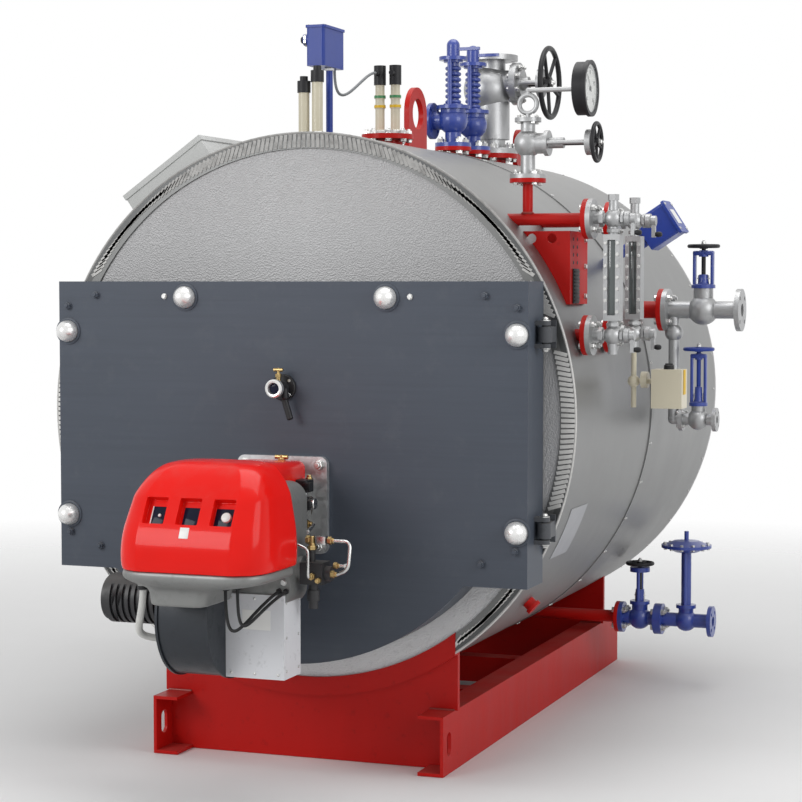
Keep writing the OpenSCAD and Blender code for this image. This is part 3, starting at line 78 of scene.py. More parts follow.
# Vessel: axis, radius and rear of the jacket, its two lap seams, front of the rim, half width of the saddles
AXIS_Z = middle("front_jacket", Z)
JACKET_R = span("front_jacket")[1][X]
JACKET_REAR = span("rear_cladding")[1][Y]
LAP_Y = (1011, 1034)
RIM_Y = span("cladding_bands")[0][Y]
SADDLE_HALF = span("saddles")[1][X]

# Door and burner: their front faces, the hinge pins, the sight tube and the burner's axis
DOOR_Y = span("door_panel")[0][Y]
MOUNT_Y = span("burner_mount")[0][Y]
HINGE_X, HINGE_Y = middle("hinge_brackets", X), middle("door_hinges", Y)
HINGE_END = 50
HINGE_Z = (span("door_hinges")[1][Z] - HINGE_END, span("door_hinges")[0][Z] + HINGE_END)
PIN_HALF = 44
SIGHT_Z = 1280
BURNER_Z = middle("burner_mount", Z)
AIR_BOX_FRONT, AIR_BOX_RIGHT = span("air_box")[0][Y], span("air_box")[1][X]

# Valves, level electrodes and gauges
VALVE_X, SAFETY_Y, STEAM_Y = 50, (1370, 1620), middle("steam_valve", Y)
PROBE_X, PROBE_Y = (20, 80), 630
GAUGE_X, GAUGE_Y, GAUGE_Z = span("level_gauges")[0][X], (120, 410), (1835, 1453)
GLASS_X = 1030
DIAL_AT = (948, middle("pressure_gauge", Y), middle("pressure_gauge", Z))
FEED_X, FEED_Y, FEED_Z = middle("feed_valves", X), middle("feed_nozzle", Y), middle("feed_nozzle", Z)
BYPASS_X, BYPASS_Z = 1110, 1120
DRAIN_X, DRAIN_Y, DRAIN_Z = middle("drain_valve", X), middle("drain_valve", Y), 270
DRIVE_X = middle("quick_drain_valve", X)
BRACKET_X = span("gauge_bracket")[1][X]

# Lids of the boxes on the jacket: angle in degrees from +X, Y and radius
TERMINAL_BOX = (125, 190, 1046)
LIMITER_BOX = (33, 920, 1259)

# Angle between faces, in radians, from which their edge shows as sharp
SHARP_ANGLE = 0.62


# Sizes and colours that a user would change


def colour(label, text, value):
    return FloatVectorProperty(
        name=label, description=text, default=value, size=3, subtype="COLOR", min=0, max=1
    )


def length(label, text, value):
    return FloatProperty(name=label, description=text, default=value, min=0, unit="LENGTH", precision=4)


def number(label, text, value, **limits):
    return FloatProperty(name=label, description=text, default=value, min=0, **limits)


class BoilerColours(bpy.types.PropertyGroup):
    """Colours of the boiler's finishes, linear."""

    red: colour("Red enamel", "Frame, saddles, necks and lugs", (0.52, 0.0085, 0.006))
    hood: colour("Hood red", "Glossy hood of the burner", (0.82, 0.009, 0.005))
    door: colour("Door", "Slate paint of the burner door", (0.076, 0.090, 0.116))
    sheet: colour("Cladding", "Aluminium sheet of the jacket", (0.255, 0.257, 0.257))
    stucco: colour("End cladding", "Embossed sheet of both ends", (0.43, 0.43, 0.435))
    blue: colour("Blue enamel", "Safety valves, yokes and limiter", (0.028, 0.060, 0.33))
    silver: colour("Valve silver", "Aluminium paint of the valves", (0.42, 0.425, 0.43))
    cream: colour("Cream", "Level electrodes and actuator", (0.66, 0.61, 0.47))
    steel: colour("Boiler steel", "Scaled plate inside the vessel", (0.115, 0.098, 0.088))
    casting: colour("Casting grey", "Burner casting and tray", (0.25, 0.255, 0.25))
    drum: colour("Fan drum", "Blue-grey fan casing", (0.018, 0.023, 0.031))
    black: colour("Black", "Motor, pump, wheels and plug heads", (0.016, 0.016, 0.018))


class BoilerSizes(bpy.types.PropertyGroup):
    """Sizes of the fasteners and trim."""

    screw: length("Sheet screw", "Thread of the self-tapping screws", 0.006)
    screw_pitch: length("Screw pitch", "Distance between screws of a seam", 0.15)
    cable: length("Cable radius", "Radius of the burner's black cables and of the probe's", 0.005)
    conduit: length("Conduit radius", "Radius of the motor's white conduit", 0.0108)
    oil_pipe: length("Oil pipe radius", "Radius of the pump's steel pipes", 0.006)
    crimps: IntProperty(
        name="Rim crimps", description="Crimps in a full turn of the front rim", default=344, min=60
    )
    plate: length("Plate thickness", "Thickness of the bare plates", 0.0015)


class BoilerStage(bpy.types.PropertyGroup):
    """Lamps, floor and framing of the studio."""

    key: number("Key lamp", "Large lamp at the front left", 215, unit="POWER")
    fill: number("Fill lamp", "Soft lamp at the right", 104, unit="POWER")
    top: number("Top lamp", "Overhead lamp", 150, unit="POWER")
    world: number("World", "Strength of the even surrounding light", 0.40)
    floor: colour("Floor", "Pale floor", (0.80, 0.80, 0.80))
    margin: number("Margin", "Share of the frame left free at each side", 0.03)


# Shader helpers


class Sock:
    """Shader socket that adds Math nodes when it is used in an expression."""

    def __init__(self, tree, socket):
        self.tree = tree
        self.socket = socket

    def calc(self, operation, *terms, clamp=False):
        node = self.tree.nodes.new("ShaderNodeMath")
        node.operation = operation
        node.use_clamp = clamp
        for entry, term in zip(node.inputs, terms):
            put(self.tree, entry, term)
        return Sock(self.tree, node.outputs[0])

    def __add__(self, other):
        return self.calc("ADD", self, other)

    __radd__ = __add__

    def __sub__(self, other):
        return self.calc("SUBTRACT", self, other)

    def __rsub__(self, other):
        return self.calc("SUBTRACT", other, self)

    def __mul__(self, other):
        return self.calc("MULTIPLY", self, other)

    __rmul__ = __mul__

    def __truediv__(self, other):
        return self.calc("DIVIDE", self, other)

    def __pow__(self, other):
        return self.calc("POWER", self, other)

    def below(self, edge):
        return self.calc("LESS_THAN", self, edge)

    def clamp(self):
        return self.calc("ADD", self, 0, clamp=True)

    def sharpen(self, low, high):
        """0 below low, 1 above high, and a ramp between them."""
        return ((self - low) / (high - low)).clamp()


def put(tree, entry, value):
    """Link a socket or set a plain value."""
    if isinstance(value, Sock):
        tree.links.new(value.socket, entry)
    elif entry.type == "RGBA" and len(value) == 3:
        entry.default_value = (*value, 1)
    else:
        entry.default_value = value


class Nodes:
    """Node tree under construction, all its nodes made by one method."""

    def __init__(self, owner):
        owner.use_nodes = True
        self.tree = owner.node_tree
        self.tree.nodes.clear()

    def node(self, kind, settings=None, values=None, out=0):
        node = self.tree.nodes.new(kind)
        for key, value in (settings or {}).items():
            setattr(node, key, value)
        for key, value in (values or {}).items():
            put(self.tree, node.inputs[key], value)
        return Sock(self.tree, node.outputs[out]) if len(node.outputs) else None


class Finish(Nodes):
    """Material on the place of a point in the object."""

    def __init__(self, name):
        self.material = bpy.data.materials.new(name)
        super().__init__(self.material)
        self.place = self.node("ShaderNodeTexCoord", out="Object")
        self.x, self.y, self.z = (self.part(self.place, axis) for axis in range(3))

    def part(self, vector, axis):
        """One number of a vector."""
        return self.node("ShaderNodeSeparateXYZ", values={0: vector}, out=axis)

    def stretch(self, *scale):
        return self.node("ShaderNodeMapping", values={"Vector": self.place, "Scale": scale})

    def noise(self, scale, detail=3, rough=0.5, vector=None):
        values = {"Vector": vector or self.place, "Scale": scale, "Detail": detail, "Roughness": rough}
        return self.node("ShaderNodeTexNoise", values=values)

    def cells(self, scale, feature="F1", vector=None):
        values = {"Vector": vector or self.place, "Scale": scale}
        return self.node("ShaderNodeTexVoronoi", {"feature": feature}, values)

    def blend(self, low, high, share):
        return self.node("ShaderNodeMix", {"data_type": "RGBA"}, {0: share, 6: low, 7: high}, out=2)

    def upward(self):
        """How far a face looks up, from 0 to 1."""
        return self.part(self.node("ShaderNodeTexCoord", out="Normal"), 2).clamp()

    def angle(self, centre_z):
        """Angle about a line along Y through a height, in turns."""
        return self.x.calc("ARCTAN2", self.z - centre_z, self.x) / TAU

    def radius(self, centre_z):
        return self.x.calc("SQRT", self.x * self.x + (self.z - centre_z) ** 2)

    def surface(self, base, rough, height=None, metal=0.0, depth=0.001, coat=0.0, **fixed):
        """Close the material. Height is in units of depth, and a fixed key's underlines stand for spaces."""
        values = {"Base Color": base, "Roughness": rough, "Metallic": metal, "Coat Weight": coat}
        if height is not None:
            relief = {"Strength": 1.0, "Distance": depth, "Height": height}
            values["Normal"] = self.node("ShaderNodeBump", values=relief)
        for key, value in fixed.items():
            values[key.replace("_", " ")] = value
        shader = self.node("ShaderNodeBsdfPrincipled", values=values)
        self.node("ShaderNodeOutputMaterial", values={"Surface": shader})
        return self.material


def shade(tone, factor):
    """Lighter or darker tone of a colour."""
    return tuple(min(1.0, c * factor) for c in tone[:3])


# Recipes of the finishes

DUST = (0.36, 0.33, 0.29)
finishes = {}


def enamel(name, tone, rough=0.34, coat=0.12, dust=0.3, peel=0.12, wear=0.0):
    """Brushed or sprayed enamel with dust on top faces and a slight orange peel."""
    f = Finish(name)
    drift = f.noise(2.1, 4)
    streak = f.noise(1.0, 4, vector=f.stretch(14, 14, 1.6))
    settled = f.upward() ** 2 * f.noise(6, 5).sharpen(0.25, 0.8) * dust
    spots = f.noise(34, 5, 0.62).sharpen(0.60, 0.72)
    base = f.blend(shade(tone, 0.74), shade(tone, 1.10), drift * 0.65 + streak * 0.35)
    base = f.blend(base, shade(tone, 0.45), spots * 0.35)
    if wear:
        base = f.blend(base, (0.20, 0.17, 0.15), f.noise(95, 4, 0.7).sharpen(0.66, 0.70) * wear)
    base = f.blend(base, DUST, settled)
    height = f.noise(240, 2) * peel + f.noise(22, 3) * 0.5 + spots * 0.05
    gloss = {"Coat_Roughness": 0.16, "Specular_IOR_Level": 0.14}
    return f.surface(base, rough + streak * 0.16 + settled * 0.5, height, depth=0.0006, coat=coat, **gloss)


def cast_paint(name, tone, metal, rough, grain=0.35, coat=0.0):
    """Painted casting: grainy skin, soft waves and darker hollows."""
    f = Finish(name)
    drift = f.noise(5.5, 4)
    skin = f.noise(170, 4, 0.6)
    stain = f.noise(26, 5, 0.65).sharpen(0.52, 0.78)
    base = f.blend(shade(tone, 0.80), shade(tone, 1.12), drift)
    base = f.blend(base, shade(tone, 0.55), stain * 0.4)
    base = f.blend(base, DUST, f.upward() ** 2 * drift * 0.3)
    height = skin * grain + f.noise(30, 3) * 0.8
    return f.surface(base, rough + stain * 0.18 + skin * 0.08, height, metal=metal, depth=0.0008, coat=coat)


def moulded(name, tone, rough, coat=0.0, grain=0.05, wave=0.6, shine=0.28):
    """Moulded plastic or rubber with a fine grain."""
    f = Finish(name)
    drift = f.noise(4, 3)
    haze = f.noise(17, 5).sharpen(0.45, 0.85)
    base = f.blend(shade(tone, 0.88), shade(tone, 1.08), drift)
    base = f.blend(base, DUST, f.upward() ** 3 * haze * 0.14)
    height = f.noise(700, 2) * grain + f.noise(5, 2) * wave
    gloss = {"Coat_Roughness": 0.06, "Specular_IOR_Level": shine}
    return f.surface(base, rough + haze * 0.10, height, depth=0.0006, coat=coat, **gloss)


def bare_metal(name, tone, rough, metal=1.0, scale=60, grain=0.2, patina=0.25):
    """Turned, plated or scaled metal."""
    f = Finish(name)
    drift = f.noise(scale / 8, 4)
    fine = f.noise(scale * 6, 3, 0.6)
    tarnish = f.noise(scale, 5, 0.65).sharpen(0.45, 0.75)
    base = f.blend(shade(tone, 0.82), shade(tone, 1.1), drift)
    base = f.blend(base, shade(tone, 0.42), tarnish * patina)
    return f.surface(base, rough + tarnish * 0.2, fine * grain + tarnish * 0.15, metal=metal, depth=0.0005)


def sheet_finish(tone):
    """Rolled aluminium cladding: fine lines round the vessel, soft dents and a dark crimped front rim."""
    f = Finish("cladding_sheet")
    lines = f.noise(1.0, 3, 0.6, f.stretch(3, 420, 3))
    smear = f.noise(4.2, 5, 0.6)
    dent = f.noise(1.7, 2)
    front = f.y.below(-0.0262) * f.radius(AXIS_Z * MM).below(0.9535)
    inner = f.radius(AXIS_Z * MM).sharpen(0.927, 0.923)
    base = f.blend(shade(tone, 0.80), shade(tone, 1.10), lines * 0.6 + smear * 0.4)
    ring = f.blend((0.075, 0.077, 0.078), (0.16, 0.162, 0.16), inner * 0.75 + smear * 0.25)
    base = f.blend(base, ring, front)
    base = f.blend(base, DUST, f.upward() ** 3 * smear * 0.25)
    height = lines * 0.12 + dent * 2.2 + f.noise(9, 3) * 0.7
    rough = 0.30 + smear * 0.16 + lines * 0.06
    return f.surface(base, rough, height, metal=0.88, depth=0.0012)


def rim_finish(tone):
    """Crimped rim teeth: bright sheet, darker towards the crown as painted shade, and rougher there."""
    f = Finish("rim_crimp")
    crown_shade_and_dulling = f.z.sharpen(1.35, 1.95)
    tarnish = f.noise(40, 5, 0.65).sharpen(0.45, 0.75)
    # Darker towards the crown: painted shade, with real tarnish mixed in
    base = f.blend(tone, shade(tone, 0.42), crown_shade_and_dulling * 0.8 + tarnish * 0.2)
    return f.surface(base, 0.42 + tarnish * 0.2 + crown_shade_and_dulling * 0.15, f.noise(240, 3) * 0.2, metal=0.6, depth=0.0005)


def stucco_finish(tone):
    """Stucco-embossed aluminium: close pebbles with a brushed look, painted highlight streaks, a painted
    sheen down the middle, painted light towards the bottom and painted shade towards the top.
    """
    f = Finish("stucco_sheet")
    pebble = f.cells(210, "SMOOTH_F1")
    sweep = f.noise(1.0, 4, 0.55, f.stretch(9, 9, 1.1))
    cloud = f.noise(3.0, 4)
    # Lighter across the middle of the sheet: a painted sheen
    painted_sheen = 1 - (f.x.calc("ABSOLUTE", f.x) * 1.9).clamp()
    # The base mixes in the sweep streaks and the middle band as painted highlight streaks and painted sheen
    base = f.blend(shade(tone, 0.80), shade(tone, 1.16), cloud * 0.25 + sweep * 0.35 + painted_sheen * 0.40)
    # Lighter towards the bottom and darker towards the top: painted light and painted shade
    base = f.blend(base, shade(tone, 1.75), (1.05 - f.z).sharpen(-0.3, 0.6) * 0.75)
    base = f.blend(base, shade(tone, 0.70), f.z.sharpen(1.4, 2.1) * 0.45)
    base = f.blend(base, shade(tone, 0.62), f.noise(40, 6, 0.7).sharpen(0.55, 0.72) * 0.34)
    height = pebble * 1.3 + cloud * 0.8
    return f.surface(base, 0.44 + sweep * 0.16, height, metal=0.30, depth=0.0015)


def door_finish(tone):
    """Slate door paint over a plate with faint level brush lines, and painted shade towards the bottom."""
    f = Finish("door_paint")
    lines = f.noise(1.0, 5, 0.62, f.stretch(2.2, 2.2, 74))
    broad = f.noise(1.6, 4)
    rub = f.noise(11, 6, 0.7).sharpen(0.55, 0.80)
    low = (0.95 - f.z).sharpen(-0.5, 0.5)
    base = f.blend(shade(tone, 0.70), shade(tone, 1.18), lines * 0.5 + broad * 0.5)
    base = f.blend(base, (0.20, 0.21, 0.22), rub * 0.16)
    # Darker towards the bottom of the door: painted shade
    base = f.blend(base, shade(tone, 0.55), low * 0.35)
    base = f.blend(base, DUST, f.upward() ** 2 * 0.3)
    height = lines * 0.35 + f.noise(190, 2) * 0.12 + broad * 0.8
    gloss = {"Coat_Roughness": 0.3, "Specular_IOR_Level": 0.25}
    return f.surface(base, 0.42 + rub * 0.15 + lines * 0.08, height, depth=0.0008, coat=0.05, **gloss)


def scaled_steel(name, tone, rust=0.35):
    """Rolled plate with mill scale and rust bloom."""
    f = Finish(name)
    flake = f.noise(24, 6, 0.7)
    bloom = f.noise(6, 5, 0.65).sharpen(0.48, 0.70)
    base = f.blend(shade(tone, 0.75), shade(tone, 1.25), flake)
    base = f.blend(base, (0.17, 0.070, 0.030), bloom * rust)
    height = flake * 0.9 + f.noise(260, 3) * 0.2
    return f.surface(base, 0.52 + bloom * 0.28, height, metal=0.45, depth=0.0009)


def galvanised(name, tone):
    """Zinc-coated plate with a spangle of crystals."""
    f = Finish(name)
    spangle = f.node("ShaderNodeTexVoronoi", {}, {"Vector": f.place, "Scale": 62}, out=1)
    grey = f.node("ShaderNodeRGBToBW", values={0: spangle})
    cloud = f.noise(9, 4)
    base = f.blend(shade(tone, 0.72), shade(tone, 1.12), grey * 0.55 + cloud * 0.45)
    return f.surface(base, 0.34 + grey * 0.2, f.noise(120, 3) * 0.25 + cloud * 0.5, metal=0.8, depth=0.0007)


def woven_rope(name, tone):
    """Braided seal rope."""
    f = Finish(name)
    turn = f.angle(AXIS_Z * MM) * 900
    slant = turn * 0.5 + f.radius(AXIS_Z * MM) * 900
    braid = (turn.calc("SINE") * 0.5 + 0.5) * (slant.calc("SINE") * 0.5 + 0.5)
    fuzz = f.noise(420, 4, 0.7)
    base = f.blend(shade(tone, 0.55), tone, braid * 0.6 + fuzz * 0.4)
    return f.surface(base, 0.9, braid * 1.2 + fuzz * 0.6, depth=0.0012)


def refractory_finish(name, tone):
    """Cast refractory with grains and hairline cracks."""
    f = Finish(name)
    grain = f.cells(120)
    edges = f.cells(3.1, "DISTANCE_TO_EDGE", f.stretch(1, 1, 1.35))
    crack = edges.below(0.005) * f.noise(5, 4).sharpen(0.42, 0.55)
    soot = f.noise(4, 5).sharpen(0.4, 0.7)
    base = f.blend(shade(tone, 0.80), shade(tone, 1.05), f.noise(60, 5))
    base = f.blend(base, (0.10, 0.09, 0.08), soot * 0.45 + crack * 0.4)
    return f.surface(base, 0.88, grain * 0.8 + f.noise(35, 4) - crack * 1.5, depth=0.0012)


def glass(name, tone, clear, coat=0.6, shine=0.5):
    """Clear or tinted pane: thin, with a bright gloss."""
    f = Finish(name)
    film = f.noise(12, 3)
    base = f.blend(shade(tone, 0.85), tone, film)
    gloss = {"Coat_Roughness": 0.03, "Specular_IOR_Level": shine}
    return f.surface(base, 0.05 + film * 0.05, coat=coat, Alpha=1 - clear, **gloss)


def make_finishes(colours):
    """Every finish of the boiler by name."""
    tone = {key: tuple(getattr(colours, key)) for key in BoilerColours.__annotations__}
    finishes.update(
        red=enamel("red_enamel", tone["red"], 0.36, 0.08, 0.22, wear=0.12),
        hood=moulded("hood_gloss", tone["hood"], 0.20, coat=0.20, grain=0.02, wave=0.5, shine=0.08),
        crimp=rim_finish((0.58, 0.575, 0.56)),
        band=bare_metal("silver_ring", (0.74, 0.75, 0.74), 0.28, metal=0.8, scale=60, patina=0.15),
        door=door_finish(tone["door"]),
        sheet=sheet_finish(tone["sheet"]),
        stucco=stucco_finish(tone["stucco"]),
        steel=scaled_steel("boiler_scale", tone["steel"]),
        seat=scaled_steel("seat_steel", (0.12, 0.12, 0.125), 0.12),
        hinge=enamel("hinge_paint", (0.10, 0.105, 0.115), 0.42, 0.1, 0.3),
        refractory=refractory_finish("refractory", (0.62, 0.56, 0.46)),
        rope=woven_rope("seal_rope", (0.70, 0.67, 0.60)),
        cap=bare_metal("cap_satin", (0.86, 0.86, 0.85), 0.24, metal=0.55, scale=30, patina=0.10),
        silver=cast_paint("valve_silver", tone["silver"], 0.72, 0.36),
        blue=enamel("valve_blue", tone["blue"], 0.30, 0.2, 0.3, wear=0.15),
        cast_blue=cast_paint("cast_blue", tone["blue"], 0.0, 0.30, grain=0.5, coat=0.4),
        black=moulded("black_satin", tone["black"], 0.42, grain=0.25),
        motor=cast_paint("motor_black", shade(tone["black"], 1.3), 0.0, 0.40, grain=0.6),
        casting=cast_paint("burner_casting", tone["casting"], 0.55, 0.40, grain=0.5),
        box=enamel("box_grey", (0.58, 0.59, 0.58), 0.34, 0.15, 0.3),
        air=enamel("air_box_white", (0.72, 0.73, 0.76), 0.36, 0.1, 0.2),
        zinc_plate=galvanised("mount_zinc", (0.55, 0.56, 0.57)),
        drum=cast_paint("fan_drum", tone["drum"], 0.25, 0.34, grain=0.3, coat=0.2),
        cream=moulded("cream_shell", tone["cream"], 0.34, coat=0.2, grain=0.1),
        cable=moulded("cable_black", (0.014, 0.014, 0.015), 0.5, grain=0.5),
        conduit=moulded("conduit_white", (0.62, 0.62, 0.60), 0.42, grain=0.3),
        grey_cable=moulded("cable_grey", (0.22, 0.23, 0.24), 0.5, grain=0.4),
        zinc=bare_metal("bolt_zinc", (0.60, 0.60, 0.59), 0.30, scale=90, patina=0.35),
        brass=bare_metal("brass", (0.50, 0.36, 0.16), 0.30, scale=80, patina=0.45),
        pipe=bare_metal("steel_pipe", (0.62, 0.62, 0.61), 0.22, scale=70, patina=0.2),
        bead=bare_metal("weld_bead", (0.28, 0.03, 0.022), 0.4, metal=0.1, scale=90, grain=0.6, patina=0.3),
        bare=moulded("bare_plate", (0.80, 0.80, 0.78), 0.30, coat=0.2, grain=0.05),
        dull_plate=moulded("dull_plate", (0.36, 0.365, 0.385), 0.42, coat=0.05, grain=0.05),
        dark_pane=glass("dark_pane", (0.010, 0.014, 0.035), 0.0, coat=0.0, shine=0.12),
        clear_pane=glass("clear_pane", (0.75, 0.80, 0.80), 0.88),
        gauge_glass=glass("gauge_glass", (0.10, 0.12, 0.12), 0.0),
        dial=moulded("dial_white", (0.82, 0.82, 0.80), 0.38, grain=0.02),
        mark=moulded("dial_mark", (0.010, 0.010, 0.011), 0.5, grain=0.02),
        yellow=moulded("yellow_band", (0.75, 0.47, 0.02), 0.4, coat=0.1, grain=0.1),
        green=moulded("green_band", (0.06, 0.25, 0.10), 0.4, coat=0.1, grain=0.1),
        red_mark=moulded("red_mark", (0.62, 0.02, 0.015), 0.4, coat=0.1, grain=0.1),
    )


NODE_FINISH = {
    "red": "base_frame saddles lifting_lugs crown_nozzles gauge_bracket gauge_nozzles feed_nozzle drain_pipe",
    "steel": "shell front_tube_plate rear_tube_plate rear_end_plate furnace_tube furnace_end smoke_tubes "
    "blast_tube",
    "sheet": "front_jacket rear_jacket cladding_bands",
    "stucco": "front_cladding rear_cladding",
    "seat": "door_seat flue_collar",
    "hinge": "hinge_brackets door_hinges",
    "box": "terminal_box",
    "cream": "electrodes drain_actuator",
    "black": "electrode_heads pressure_gauge steam_wheel feed_wheel drain_wheel gauge_wheel",
    "motor": "fan_motor burner_pump sight_tube",
    "blue": "electrode_box level_limiter feed_yokes bypass_wheel",
    "cast_blue": "safety_valves drain_valve quick_drain_valve",
    "grey_cable": "electrode_cables",
    "silver": "steam_valve level_gauges gauge_valve feed_valves",
    "door": "door_panel",
    "refractory": "door_lining",
    "rope": "door_seal",
    "cap": "door_caps",
    "hood": "burner_hood",
    "drum": "fan_scroll",
    "casting": "burner_housing burner_tray",
    "air": "air_box",
    "zinc_plate": "burner_mount",
    "cable": "burner_cables",
}


# Mesh helpers: shapes are made once about the local Z axis, in metres, and added at places


def shift(x=0.0, y=0.0, z=0.0):
    """Move in millimetres."""
    return Matrix.Translation(Vector((x, y, z)) * MM)


def turned(degrees, axis="Z"):
    """Turn about a local axis."""
    return Matrix.Rotation(math.radians(degrees), 4, axis)


def facing(at, axis=UP, spin=0.0):
    """Place in the row frame: local Z along an axis, from a point in millimetres."""
    aim = Vector(axis).to_track_quat("Z", "Y").to_matrix().to_4x4()
    return shift(*at) @ aim @ turned(spin)


def polar(angle, radius):
    """X and Z of a point about the vessel axis, in millimetres."""
    a = math.radians(angle)
    return radius * math.cos(a), AXIS_Z + radius * math.sin(a)


def on_shell(angle, y, radius):
    """Place on the jacket, local Z outwards, at an angle from +X in degrees."""
    x, z = polar(angle, radius)
    out = Vector((math.cos(math.radians(angle)), 0, math.sin(math.radians(angle))))
    side = Vector(REAR)
    return shift(x, y, z) @ Matrix((side.cross(out), side, out)).transposed().to_4x4()


def bevel(mesh, edges, offset, segments=1):
    """Ease edges by an offset in millimetres."""
    bmesh.ops.bevel(
        mesh, geom=edges, offset=offset * MM, segments=segments, profile=0.5, affect="EDGES", material=-1
    )


def to_data(mesh, name="shape"):
    """Turn a bmesh into mesh data and free it."""
    data = bpy.data.meshes.new(name)
    mesh.to_mesh(data)
    mesh.free()
    return data


def store(mesh):
    """Merge and turn a finished shape's faces outwards, and keep it as mesh data."""
    bmesh.ops.remove_doubles(mesh, verts=mesh.verts, dist=1e-6)
    bmesh.ops.recalc_face_normals(mesh, faces=mesh.faces)
    return to_data(mesh)


def grow(mesh, shape, place):
    """Add a stored shape to a bmesh at a place."""
    before = len(mesh.verts)
    mesh.from_mesh(shape)
    mesh.verts.ensure_lookup_table()
    bmesh.ops.transform(mesh, matrix=place, verts=mesh.verts[before:])


def lathe(profile, steps=24):
    """Shape turned about Z from (radius, height) points in millimetres."""
    mesh = bmesh.new()
    verts = [mesh.verts.new((r * MM, 0, z * MM)) for r, z in profile]
    line = verts + [mesh.edges.new(pair) for pair in zip(verts, verts[1:])]
    bmesh.ops.spin(mesh, geom=line, cent=(0, 0, 0), axis=UP, angle=TAU, steps=steps, use_merge=True)
    return store(mesh)


def ring(radius, tube, steps=32, sides=8):
    """Round ring about Z in millimetres, such as a weld bead."""
    turns = [TAU * k / sides for k in range(sides + 1)]
    return lathe([(radius + tube * math.cos(t), tube * math.sin(t)) for t in turns], steps)


def block(size, ease=0.0, segments=2):
    """Box that stands on its local XY plane, with eased edges, in millimetres."""
    mesh = bmesh.new()
    bmesh.ops.create_cube(mesh, size=1)
    bmesh.ops.translate(mesh, verts=mesh.verts, vec=(0, 0, 0.5))
    bmesh.ops.scale(mesh, verts=mesh.verts, vec=Vector(size) * MM)
    if ease:
        bevel(mesh, mesh.edges[:], ease, segments)
    return store(mesh)


def prism(sides, radius, height, ease=0.0):
    """Upright prism with its top edge eased, in millimetres."""
    mesh = bmesh.new()
    sizes = {"radius1": radius * MM, "radius2": radius * MM, "depth": height * MM}
    bmesh.ops.create_cone(mesh, cap_ends=True, segments=sides, matrix=shift(z=height / 2), **sizes)
    if ease:
        bevel(mesh, [e for e in mesh.edges if all(v.co.z > height * MM * 0.9 for v in e.verts)], ease)
    return store(mesh)


@cache
def hex_head(thread, stud=False):
    """Hexagon head on its washer, or a nut with the end of its stud, for a thread in millimetres."""
    mesh = bmesh.new()
    grow(mesh, prism(16, 0.98 * thread, 0.17 * thread), shift())
    head = prism(6, 0.87 * thread, (0.8 if stud else 0.65) * thread, 0.09 * thread)
    grow(mesh, head, shift(z=0.17 * thread))
    if stud:
        grow(mesh, prism(10, 0.48 * thread, 0.45 * thread, 0.08 * thread), shift(z=0.97 * thread))
    return to_data(mesh)


@cache
def pan_head(thread):
    """Low domed screw head on a sealing washer."""
    profile = [(0, 0), (1.25, 0), (1.25, 0.2), (0.9, 0.25), (0.8, 0.6), (0.45, 0.8), (0, 0.85)]
    return lathe([(r * thread, z * thread) for r, z in profile], 12)


def link_piece(name, data, finish, body, slot, replaced=()):
    """Object that rides on its body, and takes the place of the frame's nodes that are named."""
    data.materials.append(finishes[finish])
    piece = bpy.data.objects.new(name, data)
    bpy.context.scene.collection.objects.link(piece)
    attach(piece, body)
    if replaced:
        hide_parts(*replaced)
    return piece


class Piece:
    """Visible piece under construction, to which shapes are added."""

    def __init__(self, name, finish, body="boiler", slot="dark_steel", mesh=None):
        self.name, self.finish, self.body, self.slot = name, finish, body, slot
        self.mesh = bmesh.new() if mesh is None else mesh

    def add(self, shape, *places):
        for place in places:
            grow(self.mesh, shape, place)

    def fit(self, shape, at, axis=UP, spin=0.0):
        """Add a shape at a point in millimetres, and at every crossing where a coordinate is a tuple."""
        choices = [c if isinstance(c, tuple) else (c,) for c in at]
        self.add(shape, *(facing(spot, axis, spin) for spot in product(*choices)))

    def rod(self, radius, start, end, sides=20, ease=0.0):
        """Round bar between two points in millimetres."""
        start, end = Vector(start), Vector(end)
        self.fit(prism(sides, radius, (end - start).length, ease), start, end - start)

    def bolts(self, at, axis, pcd, count, thread, stud=False, phase=0.5):
        """Ring of fasteners on a flange face."""
        for k in range(count):
            spot = facing(at, axis, (k + phase) * 360 / count) @ shift(pcd / 2)
            self.add(hex_head(thread, stud), spot)

    def close(self, *replaced, levels=0):
        """Make the object, mark its sharp edges or subdivide its cage, and let it ride on its body."""
        for edge in self.mesh.edges:
            edge.smooth = levels > 0 or (len(edge.link_faces) == 2 and edge.calc_face_angle(0) < SHARP_ANGLE)
        for face in self.mesh.faces:
            face.smooth = True
        data = to_data(self.mesh, self.name)
        piece = link_piece(self.name, data, self.finish, self.body, self.slot, replaced)
        if levels:
            round_off = piece.modifiers.new("round_off", "SUBSURF")
            round_off.levels = levels
            round_off.render_levels = levels
        return piece


def bridged(loops):
    """Closed mesh through rings of points, capped at both ends, from points in millimetres."""
    mesh = bmesh.new()
    rings = []
    for loop in loops:
        verts = [mesh.verts.new(Vector(point) * MM) for point in loop]
        rings.append([mesh.edges.new(pair) for pair in zip(verts, verts[1:] + verts[:1])])
    for low, high in zip(rings, rings[1:]):
        bmesh.ops.bridge_loops(mesh, edges=low + high)
    for end in (rings[0], rings[-1]):
        bmesh.ops.contextual_create(mesh, geom=end)
    bmesh.ops.recalc_face_normals(mesh, faces=mesh.faces)
    return mesh


